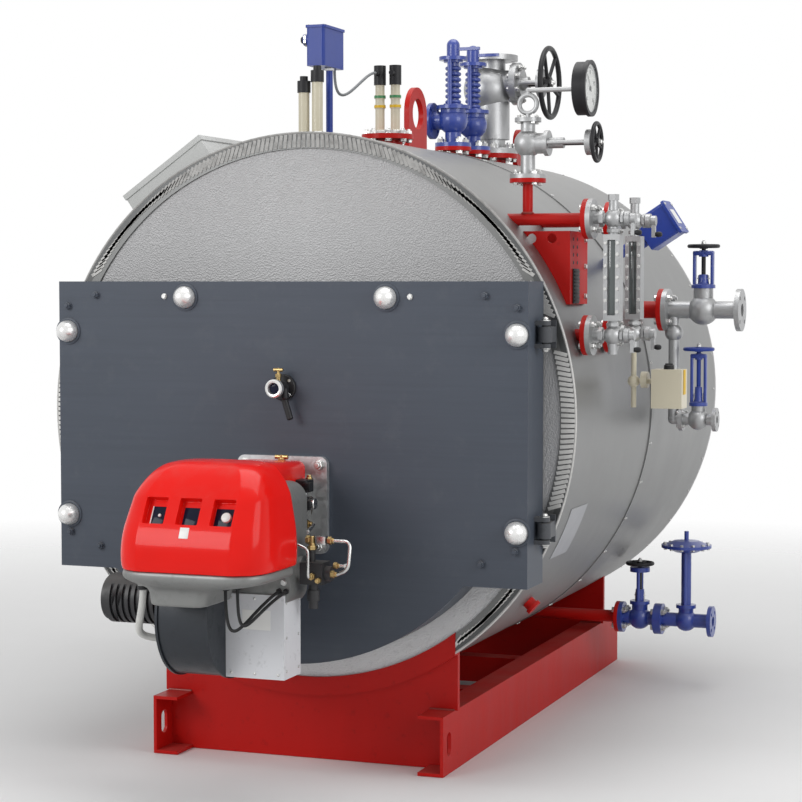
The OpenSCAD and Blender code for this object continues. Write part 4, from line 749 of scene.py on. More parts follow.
def cage(rings, columns, rear):
    """Closed cage bridged from level rings with a straight rear edge, in millimetres above the burner's axis.

    A ring gives its height, half width, front, corner radius and sideways shift.
    """
    loops = []
    for z, half, front, corner, aside in rings:
        ease = 0.29 * corner
        reach = half - corner
        right = [(half, rear), (half, (rear + front + corner) / 2), (half, front + corner)]
        right += [(half - ease, front + ease), (reach, front)]
        right += [(x * min(1, (reach - 6) / columns[0]), front) for x in columns]
        outline = right + [(-x, y) for x, y in reversed(right)]
        loops.append([(x + aside, y, BURNER_Z + z) for x, y in outline])
    mesh = bridged(loops)
    keep = mesh.edges.layers.float.new("crease_edge")
    low = (BURNER_Z + rings[0][0] + 0.5) * MM
    for edge in mesh.edges:
        if all(v.co.y > (rear - 1) * MM for v in edge.verts):
            edge[keep] = 0.8
        if all(abs(v.co.z - low) < MM for v in edge.verts):
            edge[keep] = 0.9
    return mesh


def bezier(points, share):
    """Point of a cubic curve through four control points."""
    a, b, c, d = (Vector(p) for p in points)
    rest = 1 - share
    return rest**3 * a + 3 * rest**2 * share * b + 3 * rest * share**2 * c + share**3 * d


def tube(name, points, radius, finish, body, slot, replaced=()):
    """Smooth tube through points in millimetres, as a curve object."""
    data = bpy.data.curves.new(name, "CURVE")
    data.dimensions = "3D"
    data.bevel_depth = radius
    data.bevel_resolution = 4
    data.use_fill_caps = True
    spline = data.splines.new("POLY")
    spline.points.add(len(points) - 1)
    for knot, point in zip(spline.points, points):
        knot.co = (*(Vector(point) * MM), 1)
    spline.use_smooth = True
    return link_piece(name, data, finish, body, slot, replaced)


def rounded_route(points, radius, steps=6):
    """Polyline in millimetres with its corners rounded."""
    points = [Vector(p) for p in points]
    route = [points[0]]
    for before, here, after in zip(points, points[1:], points[2:]):
        inward = (before - here).normalized() * min(radius, (before - here).length / 2)
        outward = (after - here).normalized() * min(radius, (after - here).length / 2)
        for k in range(steps + 1):
            t = k / steps
            route.append(here + inward * (1 - t) ** 2 + outward * t**2)
    return route + [points[-1]]


# Flange joints: point on the joint, axis, bolt circle, count, thread, thickness before and after the joint
JOINTS = [
    ((VALVE_X, STEAM_Y, 2165), UP, 184, 8, 16, 20, 22),
    ((VALVE_X, SAFETY_Y[0], 2165), UP, 108, 4, 16, 16, 16),
    ((VALVE_X, SAFETY_Y[1], 2165), UP, 108, 4, 16, 16, 16),
    ((VALVE_X, PROBE_Y, 2165), UP, 154, 8, 14, 18, 0),
    ((162, STEAM_Y, 2455), RIGHT, 146, 8, 12, 14, 14),
    *(((GAUGE_X, y, z), RIGHT, 98, 4, 12, 16, 16) for y, z in product(GAUGE_Y, GAUGE_Z)),
    ((738, 120, 1970), UP, 90, 4, 10, 14, 14),
    ((738, 120, 2170), UP, 66, 4, 8, 14, 0),
    ((980, FEED_Y, FEED_Z), RIGHT, 120, 4, 14, 18, 18),
    ((1054, FEED_Y, BYPASS_Z), RIGHT, 70, 4, 8, 14, 0),
    ((670, DRAIN_Y, DRAIN_Z), RIGHT, 88, 4, 14, 16, 16),
    ((830, DRAIN_Y, DRAIN_Z), RIGHT, 88, 4, 14, 16, 16),
]

# Weld beads round necks: centre, axis, radius of the neck, size of the bead
BEADS = [
    ((VALVE_X, STEAM_Y, 2145), DOWN, 60, 5),
    ((VALVE_X, SAFETY_Y[0], 2149), DOWN, 35, 4),
    ((VALVE_X, SAFETY_Y[1], 2149), DOWN, 35, 4),
    ((VALVE_X, PROBE_Y, 2147), DOWN, 55, 5),
    *(((GAUGE_X - 16, y, z), LEFT, 20, 3.5) for y, z in product(GAUGE_Y, GAUGE_Z)),
    ((738, 120, 1956), DOWN, 17, 3.5),
    ((738, 120, 1856), UP, 18, 4),
    ((962, FEED_Y, FEED_Z), LEFT, 32, 4),
    ((654, DRAIN_Y, DRAIN_Z), LEFT, 24, 4),
]

# Lifting lugs: X, Y and half length of the foot
LUGS = [(50, 930, 100), (-10, 2070, 60), (110, 2070, 60)]


def flange_bolts():
    """Bolt heads before each joint, and nuts with their studs behind it."""
    bolts = Piece("flange_bolts", "zinc")
    for at, axis, pcd, count, thread, before, after in JOINTS:
        at, axis = Vector(at), Vector(axis)
        bolts.bolts(at + axis * after, axis, pcd, count, thread, stud=True)
        bolts.bolts(at - axis * before, -axis, pcd, count, thread)
    bolts.close()


def weld_beads():
    """Beads round the necks, at the saddles' side plates and along the lifting lugs."""
    beads = Piece("weld_beads", "bead", slot="red_paint")
    for at, axis, radius, size in BEADS:
        beads.fit(ring(radius, size, 36), at, axis)
    for saddle, side, edge in product((0, 1900), (-1, 1), (-11, 11)):
        y = saddle + edge
        beads.rod(4.5, (side * 442, y, 201), (side * 529, y, 201), 8)
    for x, y, half in LUGS:
        top = AXIS_Z + math.sqrt(JACKET_R**2 - x**2) + 1
        for edge in (-11, 11):
            beads.rod(3.5, (x + edge, y - half, top), (x + edge, y + half, top), 8)
    beads.close()


def cladding_screws(sizes):
    """Screws of the lap band, the rear cladding and the jacket's seam."""
    head = pan_head(0.75 * sizes.screw / MM)
    screws = Piece("cladding_screws", "zinc", slot="cladding_sheet")
    count = round(TAU * JACKET_R * MM / sizes.screw_pitch)
    for k in range(count):
        angle = 360 * k / count
        if abs(angle - 180) > 6:
            screws.add(head, *(on_shell(angle, y, JACKET_R + 4) for y in LAP_Y))
        x, z = polar(angle + 2, JACKET_R - 22)
        screws.fit(head, (x, JACKET_REAR, z), REAR)
        if not 235 < angle < 305:
            screws.add(head, on_shell(angle, 2120, JACKET_R))
    for k, aside in product(range(7), (-1.1, 1.1)):
        screws.add(head, on_shell(156 + aside, 100 + 140 * k, JACKET_R + 6))
    screws.close()


# Reach in X and in Z of the rim that the closed door covers
DOOR_COVERS = ((-852, 790), (715, 1640))


def rim_crimps(count):
    """Teeth of the front rim, left out where the door, a hinge or the saddle's lip covers them."""
    (left, right), (low, high) = DOOR_COVERS
    crimps = Piece("rim_crimps", "crimp", slot="cladding_sheet")
    tooth = block((46, 12.4, 1.8), 0.8, 1)
    for k in range(count):
        angle = 360 * k / count
        x, z = polar(angle, 900)
        door = left < x < right and low < z < high
        x, z = polar(angle, 923)
        hinge = x > 0 and min(abs(z - pin) for pin in HINGE_Z) < 62
        lip = abs(x) < SADDLE_HALF + 6 and z < 600
        if not (door or hinge or lip):
            crimps.add(tooth, facing((x, RIM_Y, z), FRONT) @ turned(-angle))
    crimps.fit(ring(JACKET_R - 1.6, 4.8, 180), (0, RIM_Y + 3, AXIS_Z), FRONT)
    crimps.close()


def saddle_lip():
    """Curved lip of the front saddle that covers the rim from below, and its bolts."""
    steps = 60
    slices = []
    for k in range(steps + 1):
        x = SADDLE_HALF * (2 * k / steps - 1)
        corners = ((894, RIM_Y - 5), (957, RIM_Y - 5), (957, -8), (894, -8))
        slices.append([(x, y, AXIS_Z - math.sqrt(r * r - x * x)) for r, y in corners])
    Piece("saddle_front_lip", "red", slot="red_paint", mesh=bridged(slices)).close()
    bolts = Piece("saddle_lip_bolts", "zinc", slot="cap_silver")
    for x in (-524, -498, -470):
        bolts.fit(hex_head(9), (x, RIM_Y - 4, AXIS_Z - math.sqrt(925**2 - x**2)), FRONT)
    bolts.close()


DOME_NUTS = [(-360, 1577), (360, 1577), (-805, 1460), (805, 1460), (-805, 830), (805, 830)]
CORNER_NUTS = [(697, 1584), (805, 1546), (800, 770), (686, 725)]


def door_nuts():
    """Corner nuts, studs and hinge pins of the door, and its dome nuts on their collars."""
    nuts = Piece("door_corner_nuts", "door", DOOR, "door_paint")
    for x, z in CORNER_NUTS:
        nuts.fit(hex_head(14, True), ((-x, x), DOOR_Y, z), FRONT)
    nuts.close()
    studs = Piece("door_studs", "zinc", DOOR, "cap_silver")
    studs.fit(hex_head(10), ((-438, 443), DOOR_Y, 1580), FRONT)
    studs.fit(hex_head(18, True), ((-134, 134), MOUNT_Y, (BURNER_Z - 134, BURNER_Z + 134)), FRONT, 15)
    pin_end = lathe([(0, 8.5), (6, 8), (10, 5), (11.5, 0)], 16)
    for z, side in product(HINGE_Z, (-1, 1)):
        studs.fit(prism(16, 17, 3, 0.6), (HINGE_X, HINGE_Y, z + side * PIN_HALF), (0, 0, side))
        studs.fit(pin_end, (HINGE_X, HINGE_Y, z + side * (PIN_HALF + 5)), (0, 0, side))
    studs.close()
    collar = lathe([(37.5, 0), (46, 0), (46, 3.5), (43, 5), (38.5, 5), (37.5, 0)], 40)
    profile = [(37, 0), (37, 11), (35.5, 19), (32, 28), (26, 37), (18, 45), (10, 49.5), (4, 50.8), (0, 51)]
    dome = lathe(profile, 40)
    for name, finish, slot, shape, replaced in (
        ("door_cap_collars", "door", "door_paint", collar, ()),
        ("door_domes", "cap", "cap_silver", dome, ("door_caps",)),
    ):
        piece = Piece(name, finish, DOOR, slot)
        for x, z in DOME_NUTS:
            piece.fit(shape, (x, DOOR_Y, z), FRONT)
        piece.close(*replaced)


def sight_tube():
    """Sight tube of the door: flanged stem with its lever, ring, glass and tap."""
    stem = Piece("sight_tube_stem", "black", DOOR, "black_plastic")
    profile = [(0, 0), (44, 0), (44, 9), (41, 12), (22, 13), (20, 16), (20, 78), (0, 78)]
    stem.fit(lathe(profile, 40), (0, DOOR_Y, SIGHT_Z), FRONT)
    stem.rod(11, (10, -246, SIGHT_Z - 16), (40, -250, SIGHT_Z - 104), 20, 4)
    stem.rod(14, (14, -240, SIGHT_Z - 6), (20, -252, SIGHT_Z - 40), 20, 4)
    stem.close("sight_tube")
    collar = Piece("sight_tube_ring", "band", DOOR, "cap_silver")
    profile = [(17, 7), (20, 15), (25, 16), (30, 13), (31, 7), (31, 0), (17, 0), (17, 7)]
    collar.fit(lathe(profile, 48), (0, -284, SIGHT_Z), FRONT)
    collar.bolts((0, DOOR_Y - 9, SIGHT_Z), FRONT, 66, 4, 6)
    collar.close("sight_tube")
    pane = Piece("sight_glass", "dark_pane", DOOR, "black_plastic")
    pane.fit(lathe([(0, 0), (18, 0), (18, 2), (14, 4.5), (8, 5.5), (0, 6)], 32), (0, -286, SIGHT_Z), FRONT)
    pane.close()
    tap = Piece("sight_tube_tap", "brass", DOOR, "cap_silver")
    y = -256
    tap.rod(7, (0, y, SIGHT_Z + 18), (0, y, SIGHT_Z + 38), 16, 1)
    tap.fit(prism(6, 10, 12, 1.2), (0, y, SIGHT_Z + 36))
    tap.rod(5, (0, y, SIGHT_Z + 48), (0, y, SIGHT_Z + 66), 16, 1)
    tap.rod(6, (-16, y, SIGHT_Z + 60), (16, y, SIGHT_Z + 60), 16, 1.5)
    tap.close("sight_tube")


# Rings of the hood and of the tray below it
HOOD = [
    (-135, 240, -971, 82, 0),
    (-127, 246, -976, 86, 0),
    (-82, 248, -979.5, 88, 0),
    (-26, 245, -967, 84, 0),
    (7, 240, -950, 80, 0),
    (17, 238, -944.5, 78, 0),
    (78, 227, -910.5, 68, 0),
    (88, 225, -905, 66, 0),
    (130, 206, -868, 60, 0),
    (168, 178, -824, 56, 0),
    (186, 138, -775, 50, 0),
]
TRAY = [
    (-136, 238, -966, 80, 0),
    (-143, 243, -972, 84, 0),
    (-158, 243, -971, 84, 0),
    (-168, 232, -962, 80, -2),
    (-182, 186, -934, 66, -22),
    (-194, 130, -902, 46, -50),
    (-208, 104, -888, 34, -64),
    (-244, 98, -884, 30, -68),
    (-255, 94, -880, 28, -68),
]
# Windows in the hood's sloping front: their middles in X, Y and Z, slope in degrees, half width and depth
WINDOWS = (-112, 0, 112)
WINDOW_Y, WINDOW_Z = -924, BURNER_Z + 47
WINDOW_SLOPE = -29.5
WINDOW_HALF = 38
WINDOW_DEPTH = 25
# Middle and width of the pane in each window
PANES = [(-105, 50), (3, 58), (112, 66)]


def hood_cage():
    """Cage of the hood with its three window recesses."""
    mesh = cage(HOOD, (151, 141, 83, 73, 39, 29), -670)
    keep = mesh.edges.layers.float["crease_edge"]
    for x in WINDOWS:
        group = []
        for face in mesh.faces:
            at = face.calc_center_median() / MM
            if abs(at.x - x) < WINDOW_HALF and at.y < WINDOW_Y + 44 and abs(at.z - WINDOW_Z) < 40:
                group.append(face)
        for thickness, depth, crease in ((3, 0, 0.94), (1, 1 - WINDOW_DEPTH, 0.95)):
            bmesh.ops.inset_region(
                mesh, faces=group, thickness=thickness * MM, depth=depth * MM, use_even_offset=True
            )
            inside = set(group)
            for face in group:
                for edge in face.edges:
                    if any(other not in inside for other in edge.link_faces):
                        edge[keep] = crease
    return mesh


def window_place(x, depth):
    """Place in a hood window's recess, local Z towards the front, depth from the recess's floor."""
    slope = shift(x, WINDOW_Y, WINDOW_Z) @ turned(WINDOW_SLOPE, "X")
    return slope @ shift(0, WINDOW_DEPTH - depth) @ turned(90, "X") @ shift(0, -9)


def hood_rear_cover():
    """Tapered cover between hood and door."""
    box = bmesh.new()
    box.from_mesh(block((260, 404, 109)))
    half = 50 * MM
    for vert in box.verts:
        if vert.co.y > 0:
            vert.co.x *= 105 / 130
            vert.co.z = (30 if vert.co.z < half else 91) * MM
    bevel(box, [e for e in box.edges if any(v.co.z > half for v in e.verts)], 26, 5)
    cover = Piece("hood_rear_cover", "hood", DOOR, "burner_red")
    cover.add(store(box), shift(0, -466, BURNER_Z + 60))
    cover.close("burner_hood")


def hood_windows():
    """Dark panes in the hood's windows, and the controls behind them."""
    panes = Piece("hood_panes", "dark_pane", DOOR, "black_plastic")
    for x, wide in PANES:
        panes.add(block((wide, 60, 5), 1.5), window_place(x, 0.3))
    panes.close()
    knobs = Piece("hood_controls", "bare", DOOR, "light_grey")
    knobs.add(lathe([(0, 11), (11, 11), (15, 9), (16, 6), (16, 0)], 32), window_place(118, 5))
    knobs.add(block((4, 60, 5), 1), window_place(-112, 5) @ shift(-19, 0, -4))
    knobs.add(lathe([(0, 5), (4, 5), (5, 4), (5, 0)], 20), window_place(-104, 5))
    knobs.close()


def hood_plate(context, shell):
    """Bare plate on the front of the hood, seated where a ray from the front meets it."""
    context.view_layer.update()
    start = Vector((0, -1100, BURNER_Z - 14)) * MM
    _, spot, normal, _ = shell.ray_cast(start, Vector(REAR), depsgraph=context.evaluated_depsgraph_get())
    plate = Piece("hood_bare_plate", "bare", DOOR, "light_grey")
    plate.fit(block((30, 34, 1.6), 0.5), spot / MM - normal * 0.4, normal)
    plate.close()


def burner_castings(context):
    """Hood with its cover, windows and plate, and the bowl below it."""
    shell = Piece("hood_shell", "hood", DOOR, "burner_red", hood_cage()).close("burner_hood", levels=3)
    hood_rear_cover()
    bowl = cage(TRAY, (96, 48), -692)
    Piece("burner_tray_bowl", "casting", DOOR, "light_grey", bowl).close("burner_tray", levels=3)
    boss = Piece("conduit_boss", "casting", DOOR, "light_grey")
    boss.rod(17, (-225, -790, 690), (-225, -790, 745), 24, 2)
    boss.close("burner_tray")
    hood_windows()
    hood_plate(context, shell)


# Brass unions of the pump and the valve train: point, axis and size
UNIONS = [
    ((237, -538, 792), UP, 13),
    ((218, -538, 822), RIGHT, 12),
    ((291, -538, 822), RIGHT, 11),
    ((303, -545, 718), RIGHT, 10),
    ((303, -520, 742), RIGHT, 9),
    ((250, -570, 712), FRONT, 10),
    ((272, -570, 700), FRONT, 8),
    ((150, -380, 850), RIGHT, 12),
    ((140, -330, 985), UP, 10),
]
OIL_LOOP = [(308, -538, 822), (366, -538, 822), (366, -560, 735), (322, -545, 718)]
OIL_RISE = [(250, -588, 712), (250, -604, 712), (250, -604, 800), (214, -604, 815), (196, -600, 812)]


def burner_screws():
    """Screws of the fan casing, the burner housing, the air box and the motor."""
    screws = Piece("burner_screws", "zinc", DOOR, "cap_silver")
    screws.bolts((-200, -560, 580), LEFT, 366, 12, 9, phase=0)
    screws.fit(hex_head(10), ((-175, 175), -620, (BURNER_Z - 30, BURNER_Z - 200)), FRONT)
    screws.fit(pan_head(4), (AIR_BOX_RIGHT, (-612, -518), (415, 520, 630)), RIGHT)
    screws.fit(pan_head(4), ((0, 80, 160), AIR_BOX_FRONT, (405, 642)), FRONT)
    screws.fit(pan_head(4), ((-377, -305), (-590, -530), 718))
    screws.bolts((-461, -560, 610), LEFT, 116, 4, 6)
    screws.close()


def valve_train(pipe):
    """Brass unions, steel rods, solenoid coils and oil pipes on the burner's right flank."""
    brass = Piece("brass_fittings", "brass", DOOR, "cap_silver")
    for at, axis, size in UNIONS:
        brass.fit(prism(6, size * 1.15, 12, 1.2), at, axis)
        brass.fit(prism(18, size * 0.8, 20, 1.0), at, axis)
    brass.rod(9, (237, -538, 800), (237, -538, 834), 18, 1)
    brass.rod(8, (96, -330, 975), (136, -330, 975), 18, 1)
    brass.rod(8, (30, -300, 1030), (30, -300, 1064), 18, 1)
    brass.fit(prism(6, 13, 14, 1.5), (30, -300, 1040))
    brass.rod(7, (8, -300, 1058), (52, -300, 1058), 18, 1.5)
    brass.close()
    steel = Piece("valve_line", "pipe", DOOR, "cap_silver")
    steel.fit(block((32, 26, 26), 2.5), (270, -538, 809))
    steel.rod(5, (315, -520, 742), (348, -520, 742), 16, 1)
    steel.rod(8, (340, -520, 742), (352, -520, 742), 6, 1)
    steel.rod(6, (176, -380, 850), (196, -480, 838), 16, 1)
    steel.rod(9, (132, -350, 872), (132, -350, 892), 20, 1)
    steel.rod(9, (132, -350, 936), (132, -350, 950), 20, 1)
    steel.fit(lathe([(0, 20), (17, 20), (19, 18), (19, 0), (0, 0)], 28), (150, -350, 915), RIGHT)
    steel.close()
    coils = Piece("solenoid_coils", "black", DOOR, "black_plastic")
    for z in (892, 950):
        coils.fit(block((46, 60, 42), 5, 3), (129, -350, z))
        coils.fit(block((24, 24, 26), 3), (151, -372, z + 8))
    coils.fit(block((44, 70, 30), 4, 3), (128, -395, 836))
    coils.close()
    tube("oil_pipe_loop", rounded_route(OIL_LOOP, 24), pipe, "pipe", DOOR, "cap_silver")
    tube("oil_pipe_rise", rounded_route(OIL_RISE, 14), pipe * 0.75, "pipe", DOOR, "cap_silver")


def burner_plates():
    """Bare plates on air box and motor, and the glands of the burner's cables."""
    plates = Piece("burner_bare_plates", "bare", DOOR, "light_grey")
    plates.fit(block((96, 62, 0.8), 0.3, 1), (86, AIR_BOX_FRONT - 0.1, 575), FRONT)
    plates.fit(block((62, 34, 0.8), 0.3, 1), (-330, -560, 718.1))
    plates.close()
    glands = Piece("cable_glands", "black", DOOR, "black_plastic")
    for x, z in ((100, 696), (60, 690)):
        glands.fit(prism(6, 13, 12, 1.2), (x, -800, z))
    glands.fit(prism(6, 9.5, 8, 1), ((160, 184), -620, 668), FRONT)
    glands.fit(prism(20, 19, 16, 2), (-200, -680, 507), LEFT)
    glands.fit(prism(20, 18, 12, 2), (-225, -790, 690), DOWN)
    glands.close()


# Control points of the cords' routes, held at both ends
CABLES = {
    "cable_front": [(100, -800, 704), (100, -800, 487), (184, -905, 636), (184, -620.3, 668)],
    "cable_low": [(60, -800, 698), (60, -800, 452), (160, -895, 628), (160, -620.3, 668)],
}
CONDUIT = [(-225, -790, 689.7), (-225, -790, 550), (-350, -680, 507), (-200.3, -680, 507)]
PROBE_CABLE = [(-35, 325, 2374.7), (-35, 325, 2175), (20, 465, 2385), (20, 584.7, 2385)]


def cord(name, points, radius, finish, body, slot, replaced):
    """Cord along the cubic curve of its route."""
    steps = 36
    route = [bezier(points, k / steps) for k in range(steps + 1)]
    tube(name, route, radius, finish, body, slot, (replaced,))


def conduit_ribs(radius):
    """Ribs round the motor's conduit, in millimetres from its radius."""
    ribs = Piece("conduit_ribs", "conduit", DOOR, "cable_grey")
    rib = ring(radius - 0.6, 1.5, 20, 6)
    count = 84
    for k in range(1, count):
        here, there = bezier(CONDUIT, k / count), bezier(CONDUIT, (k + 0.2) / count)
        ribs.fit(rib, here, there - here)
    ribs.close()


# Sweep of the pressure gauge's dial, in degrees
DIAL_START, DIAL_SWEEP = 225, 270


def dial_marks(look):
    """Face, ticks and needle of the pressure gauge."""
    dial = Piece("gauge_dial", "dial", slot="light_grey")
    dial.add(lathe([(0, 0.8), (79, 0.8), (79.5, 0), (0, 0)], 64), look)
    dial.close()
    marks = Piece("gauge_marks", "mark", slot="black_plastic")
    ticks = 40
    for k in range(ticks + 1):
        long = k % 5 == 0
        tick = block((9 if long else 5, 1.6 if long else 0.8, 0.5))
        spot = look @ turned(DIAL_START - DIAL_SWEEP * k / ticks) @ shift(66 if long else 68, 0, 0.8)
        marks.add(tick, spot)
    marks.add(block((72, 2.6, 1.0), 0.4, 1), look @ turned(132) @ shift(22, 0, 2.8))
    marks.add(prism(24, 8, 3, 0.8), look @ shift(z=0.8))
    marks.close()


def dial_figures(look):
    """Plain numbers round the dial, each a thin solid."""
    figures = ("0", "4", "8", "12", "16")
    for k, figure in enumerate(figures):
        turn = math.radians(DIAL_START - DIAL_SWEEP * k / (len(figures) - 1))
        data = bpy.data.curves.new(f"figure_{figure}", "FONT")
        data.body = figure
        data.size = 19 * MM
        data.align_x = "CENTER"
        data.align_y = "CENTER"
        data.extrude = 0.2 * MM
        text = bpy.data.objects.new("figure_text", data)
        bpy.context.scene.collection.objects.link(text)
        bpy.context.view_layer.update()
        solid = bpy.data.meshes.new_from_object(text)
        bpy.data.objects.remove(text)
        solid.transform(look @ shift(52 * math.cos(turn), 52 * math.sin(turn), 1.1))
        solid.materials.clear()
        link_piece(f"gauge_figure_{figure}", solid, "mark", "boiler", "black_plastic")


def level_gauge_trim():
    """Glasses, clamp screws, union nuts and cock knobs of both level gauges."""
    glasses = Piece("level_glasses", "gauge_glass", slot="black_plastic")
    screws = Piece("level_screws", "zinc", slot="valve_silver")
    rows = tuple(1530 + 37.5 * k for k in range(7))
    for y, side in product(GAUGE_Y, (-1, 1)):
        out = (0, side, 0)
        glasses.fit(block((22, 244, 4), 1.2), (GLASS_X, y + side * 14.2, 1642), out)
        screws.fit(hex_head(6.5), ((GLASS_X - 20, GLASS_X + 20), y + side * 26, rows), out)
    glasses.close()
    screws.close()
    seats = Piece("level_glass_seats", "silver", slot="valve_silver")
    seats.fit(prism(6, 27, 14, 2), (985, GAUGE_Y, GAUGE_Z), RIGHT)
    seats.fit(prism(6, 24, 10, 2), (1058, GAUGE_Y, GAUGE_Z), RIGHT)
    seats.fit(prism(6, 22, 12, 1.5), (GLASS_X, GAUGE_Y, 1790), UP)
    seats.fit(prism(6, 22, 12, 1.5), (GLASS_X, GAUGE_Y, 1494), DOWN)
    seats.close()
    knobs = Piece("cock_knobs", "black", slot="black_plastic")
    knob = lathe([(0, 24), (6, 22), (9, 17), (9.5, 9), (7.5, 2), (7, 0), (0, 0)], 20)
    knobs.fit(knob, (1102, GAUGE_Y, tuple(z - 46 for z in GAUGE_Z)), RIGHT)
    knobs.close()


def probe_fittings():
    """Coloured bands and nuts of the level electrodes."""
    band = lathe([(20.1, 0), (21.2, 0.6), (21.2, 9.4), (20.1, 10), (20.1, 0)], 32)
    for name, finish, low in (("probe_bands_yellow", "yellow", 2262), ("probe_bands_green", "green", 2297)):
        bands = Piece(name, finish, slot="cream")
        bands.fit(band, (PROBE_X, PROBE_Y, low))
        bands.close()
    nuts = Piece("probe_nuts", "zinc", slot="cap_silver")
    nuts.fit(prism(6, 25, 16, 2), (PROBE_X, PROBE_Y, 2165))
    nuts.fit(prism(6, 25, 14, 2), ((-78, -28), 150, 2132))
    nuts.fit(prism(6, 17, 10, 1.5), (-30, 265, 2365))
    nuts.fit(prism(6, 23, 10, 1.5), (-99, 235, 2471), LEFT)
    nuts.close()


def box_fittings():
    """Lid screws and glands of the electrode, terminal and limiter boxes."""
    angle, y, radius = TERMINAL_BOX
    screws = Piece("lid_screws", "zinc", slot="cap_silver")
    screws.fit(pan_head(4), ((-73, -17), (180, 350), 2514.6))
    for side in (-1, 1):
        for along in (-84, 284):
            screws.add(pan_head(6), on_shell(angle, y + along, radius) @ shift(side * 168))
        for k in (-1, 1):
            corner = on_shell(LIMITER_BOX[0], LIMITER_BOX[1] + side * 52, LIMITER_BOX[2])
            screws.add(pan_head(5), corner @ shift(k * 52))
    screws.close()
    glands = Piece("box_glands", "black", slot="black_plastic")
    for k in range(5):
        back = on_shell(angle, y + 300, radius - 56) @ shift(-128 + 56 * k) @ turned(-90, "X")
        glands.add(prism(6, 15, 9, 1.2), back)
        glands.add(prism(16, 11.9, 30, 3), back)
    glands.fit(prism(20, 12, 14, 2), (-108, 235, 2471), LEFT)
    glands.close()


def bare_plates(thick):
    """Curved plate on the jacket, made of narrow strips, and plates on the terminal and limiter boxes."""
    plate = Piece("jacket_bare_plate", "dull_plate", slot="light_grey")
    start, sweep, strips = -29.6, 11.1, 12
    strip = block(((JACKET_R + 1) * math.radians(sweep / strips) + 0.8, 200, thick))
    for k in range(strips):
        plate.add(strip, on_shell(start + (k + 0.5) * sweep / strips, 190, JACKET_R + 0.2))
    plate.close()
    plates = Piece("bare_plates", "bare", slot="light_grey")
    for size, (angle, y, radius) in (((150, 60, 0.8), TERMINAL_BOX), ((60, 60, 0.8), LIMITER_BOX)):
        plates.add(block(size, 0.3, 1), on_shell(angle, y, radius + 0.1))
    plates.close()


# Nuts that turn with their handwheels: piece, body, point, axis and thread
WHEEL_NUTS = [
    ("feed_wheel_nut", "feed_handwheel", (FEED_X, FEED_Y, 1768), UP, 10),
    ("bypass_wheel_nut", "bypass_handwheel", (BYPASS_X, FEED_Y, 1388), UP, 10),
    ("drain_wheel_nut", "drain_handwheel", (DRAIN_X, DRAIN_Y, 499), UP, 10),
    ("gauge_wheel_nut", "gauge_handwheel", (981, 120, 2085), RIGHT, 10),
]
STEAM_WHEEL_NUT = ("steam_wheel_nut", "steam_handwheel", (305, STEAM_Y, 2455), RIGHT, 16)


def wheel_nut(name, body, at, axis, thread):
    """Nut that holds a handwheel on its spindle."""
    nut = Piece(name, "zinc", body, "cap_silver")
    nut.fit(hex_head(thread, True), at, axis)
    nut.close()


def cast_yoke(piece, base, radius, height, reach):
    """Two cast arms along X over a bonnet flange, with a bridge and its bush."""
    base = Vector(base)
    bonnet = [(0, 0), (radius, 0), (radius, 12), (radius - 3, 14), (radius * 0.5, 17), (radius * 0.42, 26)]
    bonnet += [(radius * 0.38, height * 0.36), (0, height * 0.38)]
    piece.fit(lathe(bonnet, 32), base)
    arm = block((11, radius * 0.62, height - 16), 4, 3)
    for side in (-1, 1):
        piece.fit(arm, base + Vector((side * reach, 0, 8)))
    piece.fit(block((2 * reach + 11, radius * 0.8, 17), 6, 3), base + Vector((0, 0, height - 19)))
    bush = [(radius * 0.4, 0), (radius * 0.4, 22), (radius * 0.32, 24), (9.5, 24), (9.5, 0)]
    piece.fit(lathe(bush, 24), base + Vector((0, 0, height - 24)))


def valve_yokes():
    """Cast yokes of the feed valves and the gland studs of the three upright valves."""
    yokes = Piece("feed_yoke_castings", "cast_blue", slot="valve_blue")
    cast_yoke(yokes, (FEED_X, FEED_Y, FEED_Z + 80), 44, 140, 33)
    cast_yoke(yokes, (BYPASS_X, FEED_Y, BYPASS_Z + 50), 34, 195, 25)
    yokes.close("feed_yokes")
    glands = Piece("gland_studs", "zinc", slot="cap_silver")
    studs = ((FEED_X, FEED_Y, 1619, 18), (BYPASS_X, FEED_Y, 1184, 15), (DRAIN_X, DRAIN_Y, 340, 17))
    for x, y, z, reach in studs:
        for side in (-1, 1):
            stud = x + side * reach
            glands.rod(3, (stud, y, z), (stud, y, z + 34), 10)
            glands.fit(hex_head(6), (stud, y, z + 20))
    glands.close()


def actuator_fittings():
    """Strip and knob of the blow-down actuator, and the bolts of the drive's cap."""
    strip = Piece("actuator_strip", "yellow", slot="cream")
    strip.fit(block((30, 84.6, 3), 1), (1205, 410, 1290), RIGHT)
    strip.close()
    knob = Piece("actuator_knob", "black", slot="black_plastic")
    knob.fit(lathe([(0, 16), (14, 16), (17, 13), (18, 0), (0, 0)], 28), (1152, 410, 1332.7))
    knob.fit(block((26, 7, 4), 1), (1152, 410, 1348.5))
    knob.close()
    bolts = Piece("drive_cap_bolts", "zinc", slot="cap_silver")
    for z, axis in ((576, UP), (564, DOWN)):
        bolts.bolts((DRIVE_X, DRAIN_Y, z), axis, 176, 12, 8, phase=0)
    bolts.close()


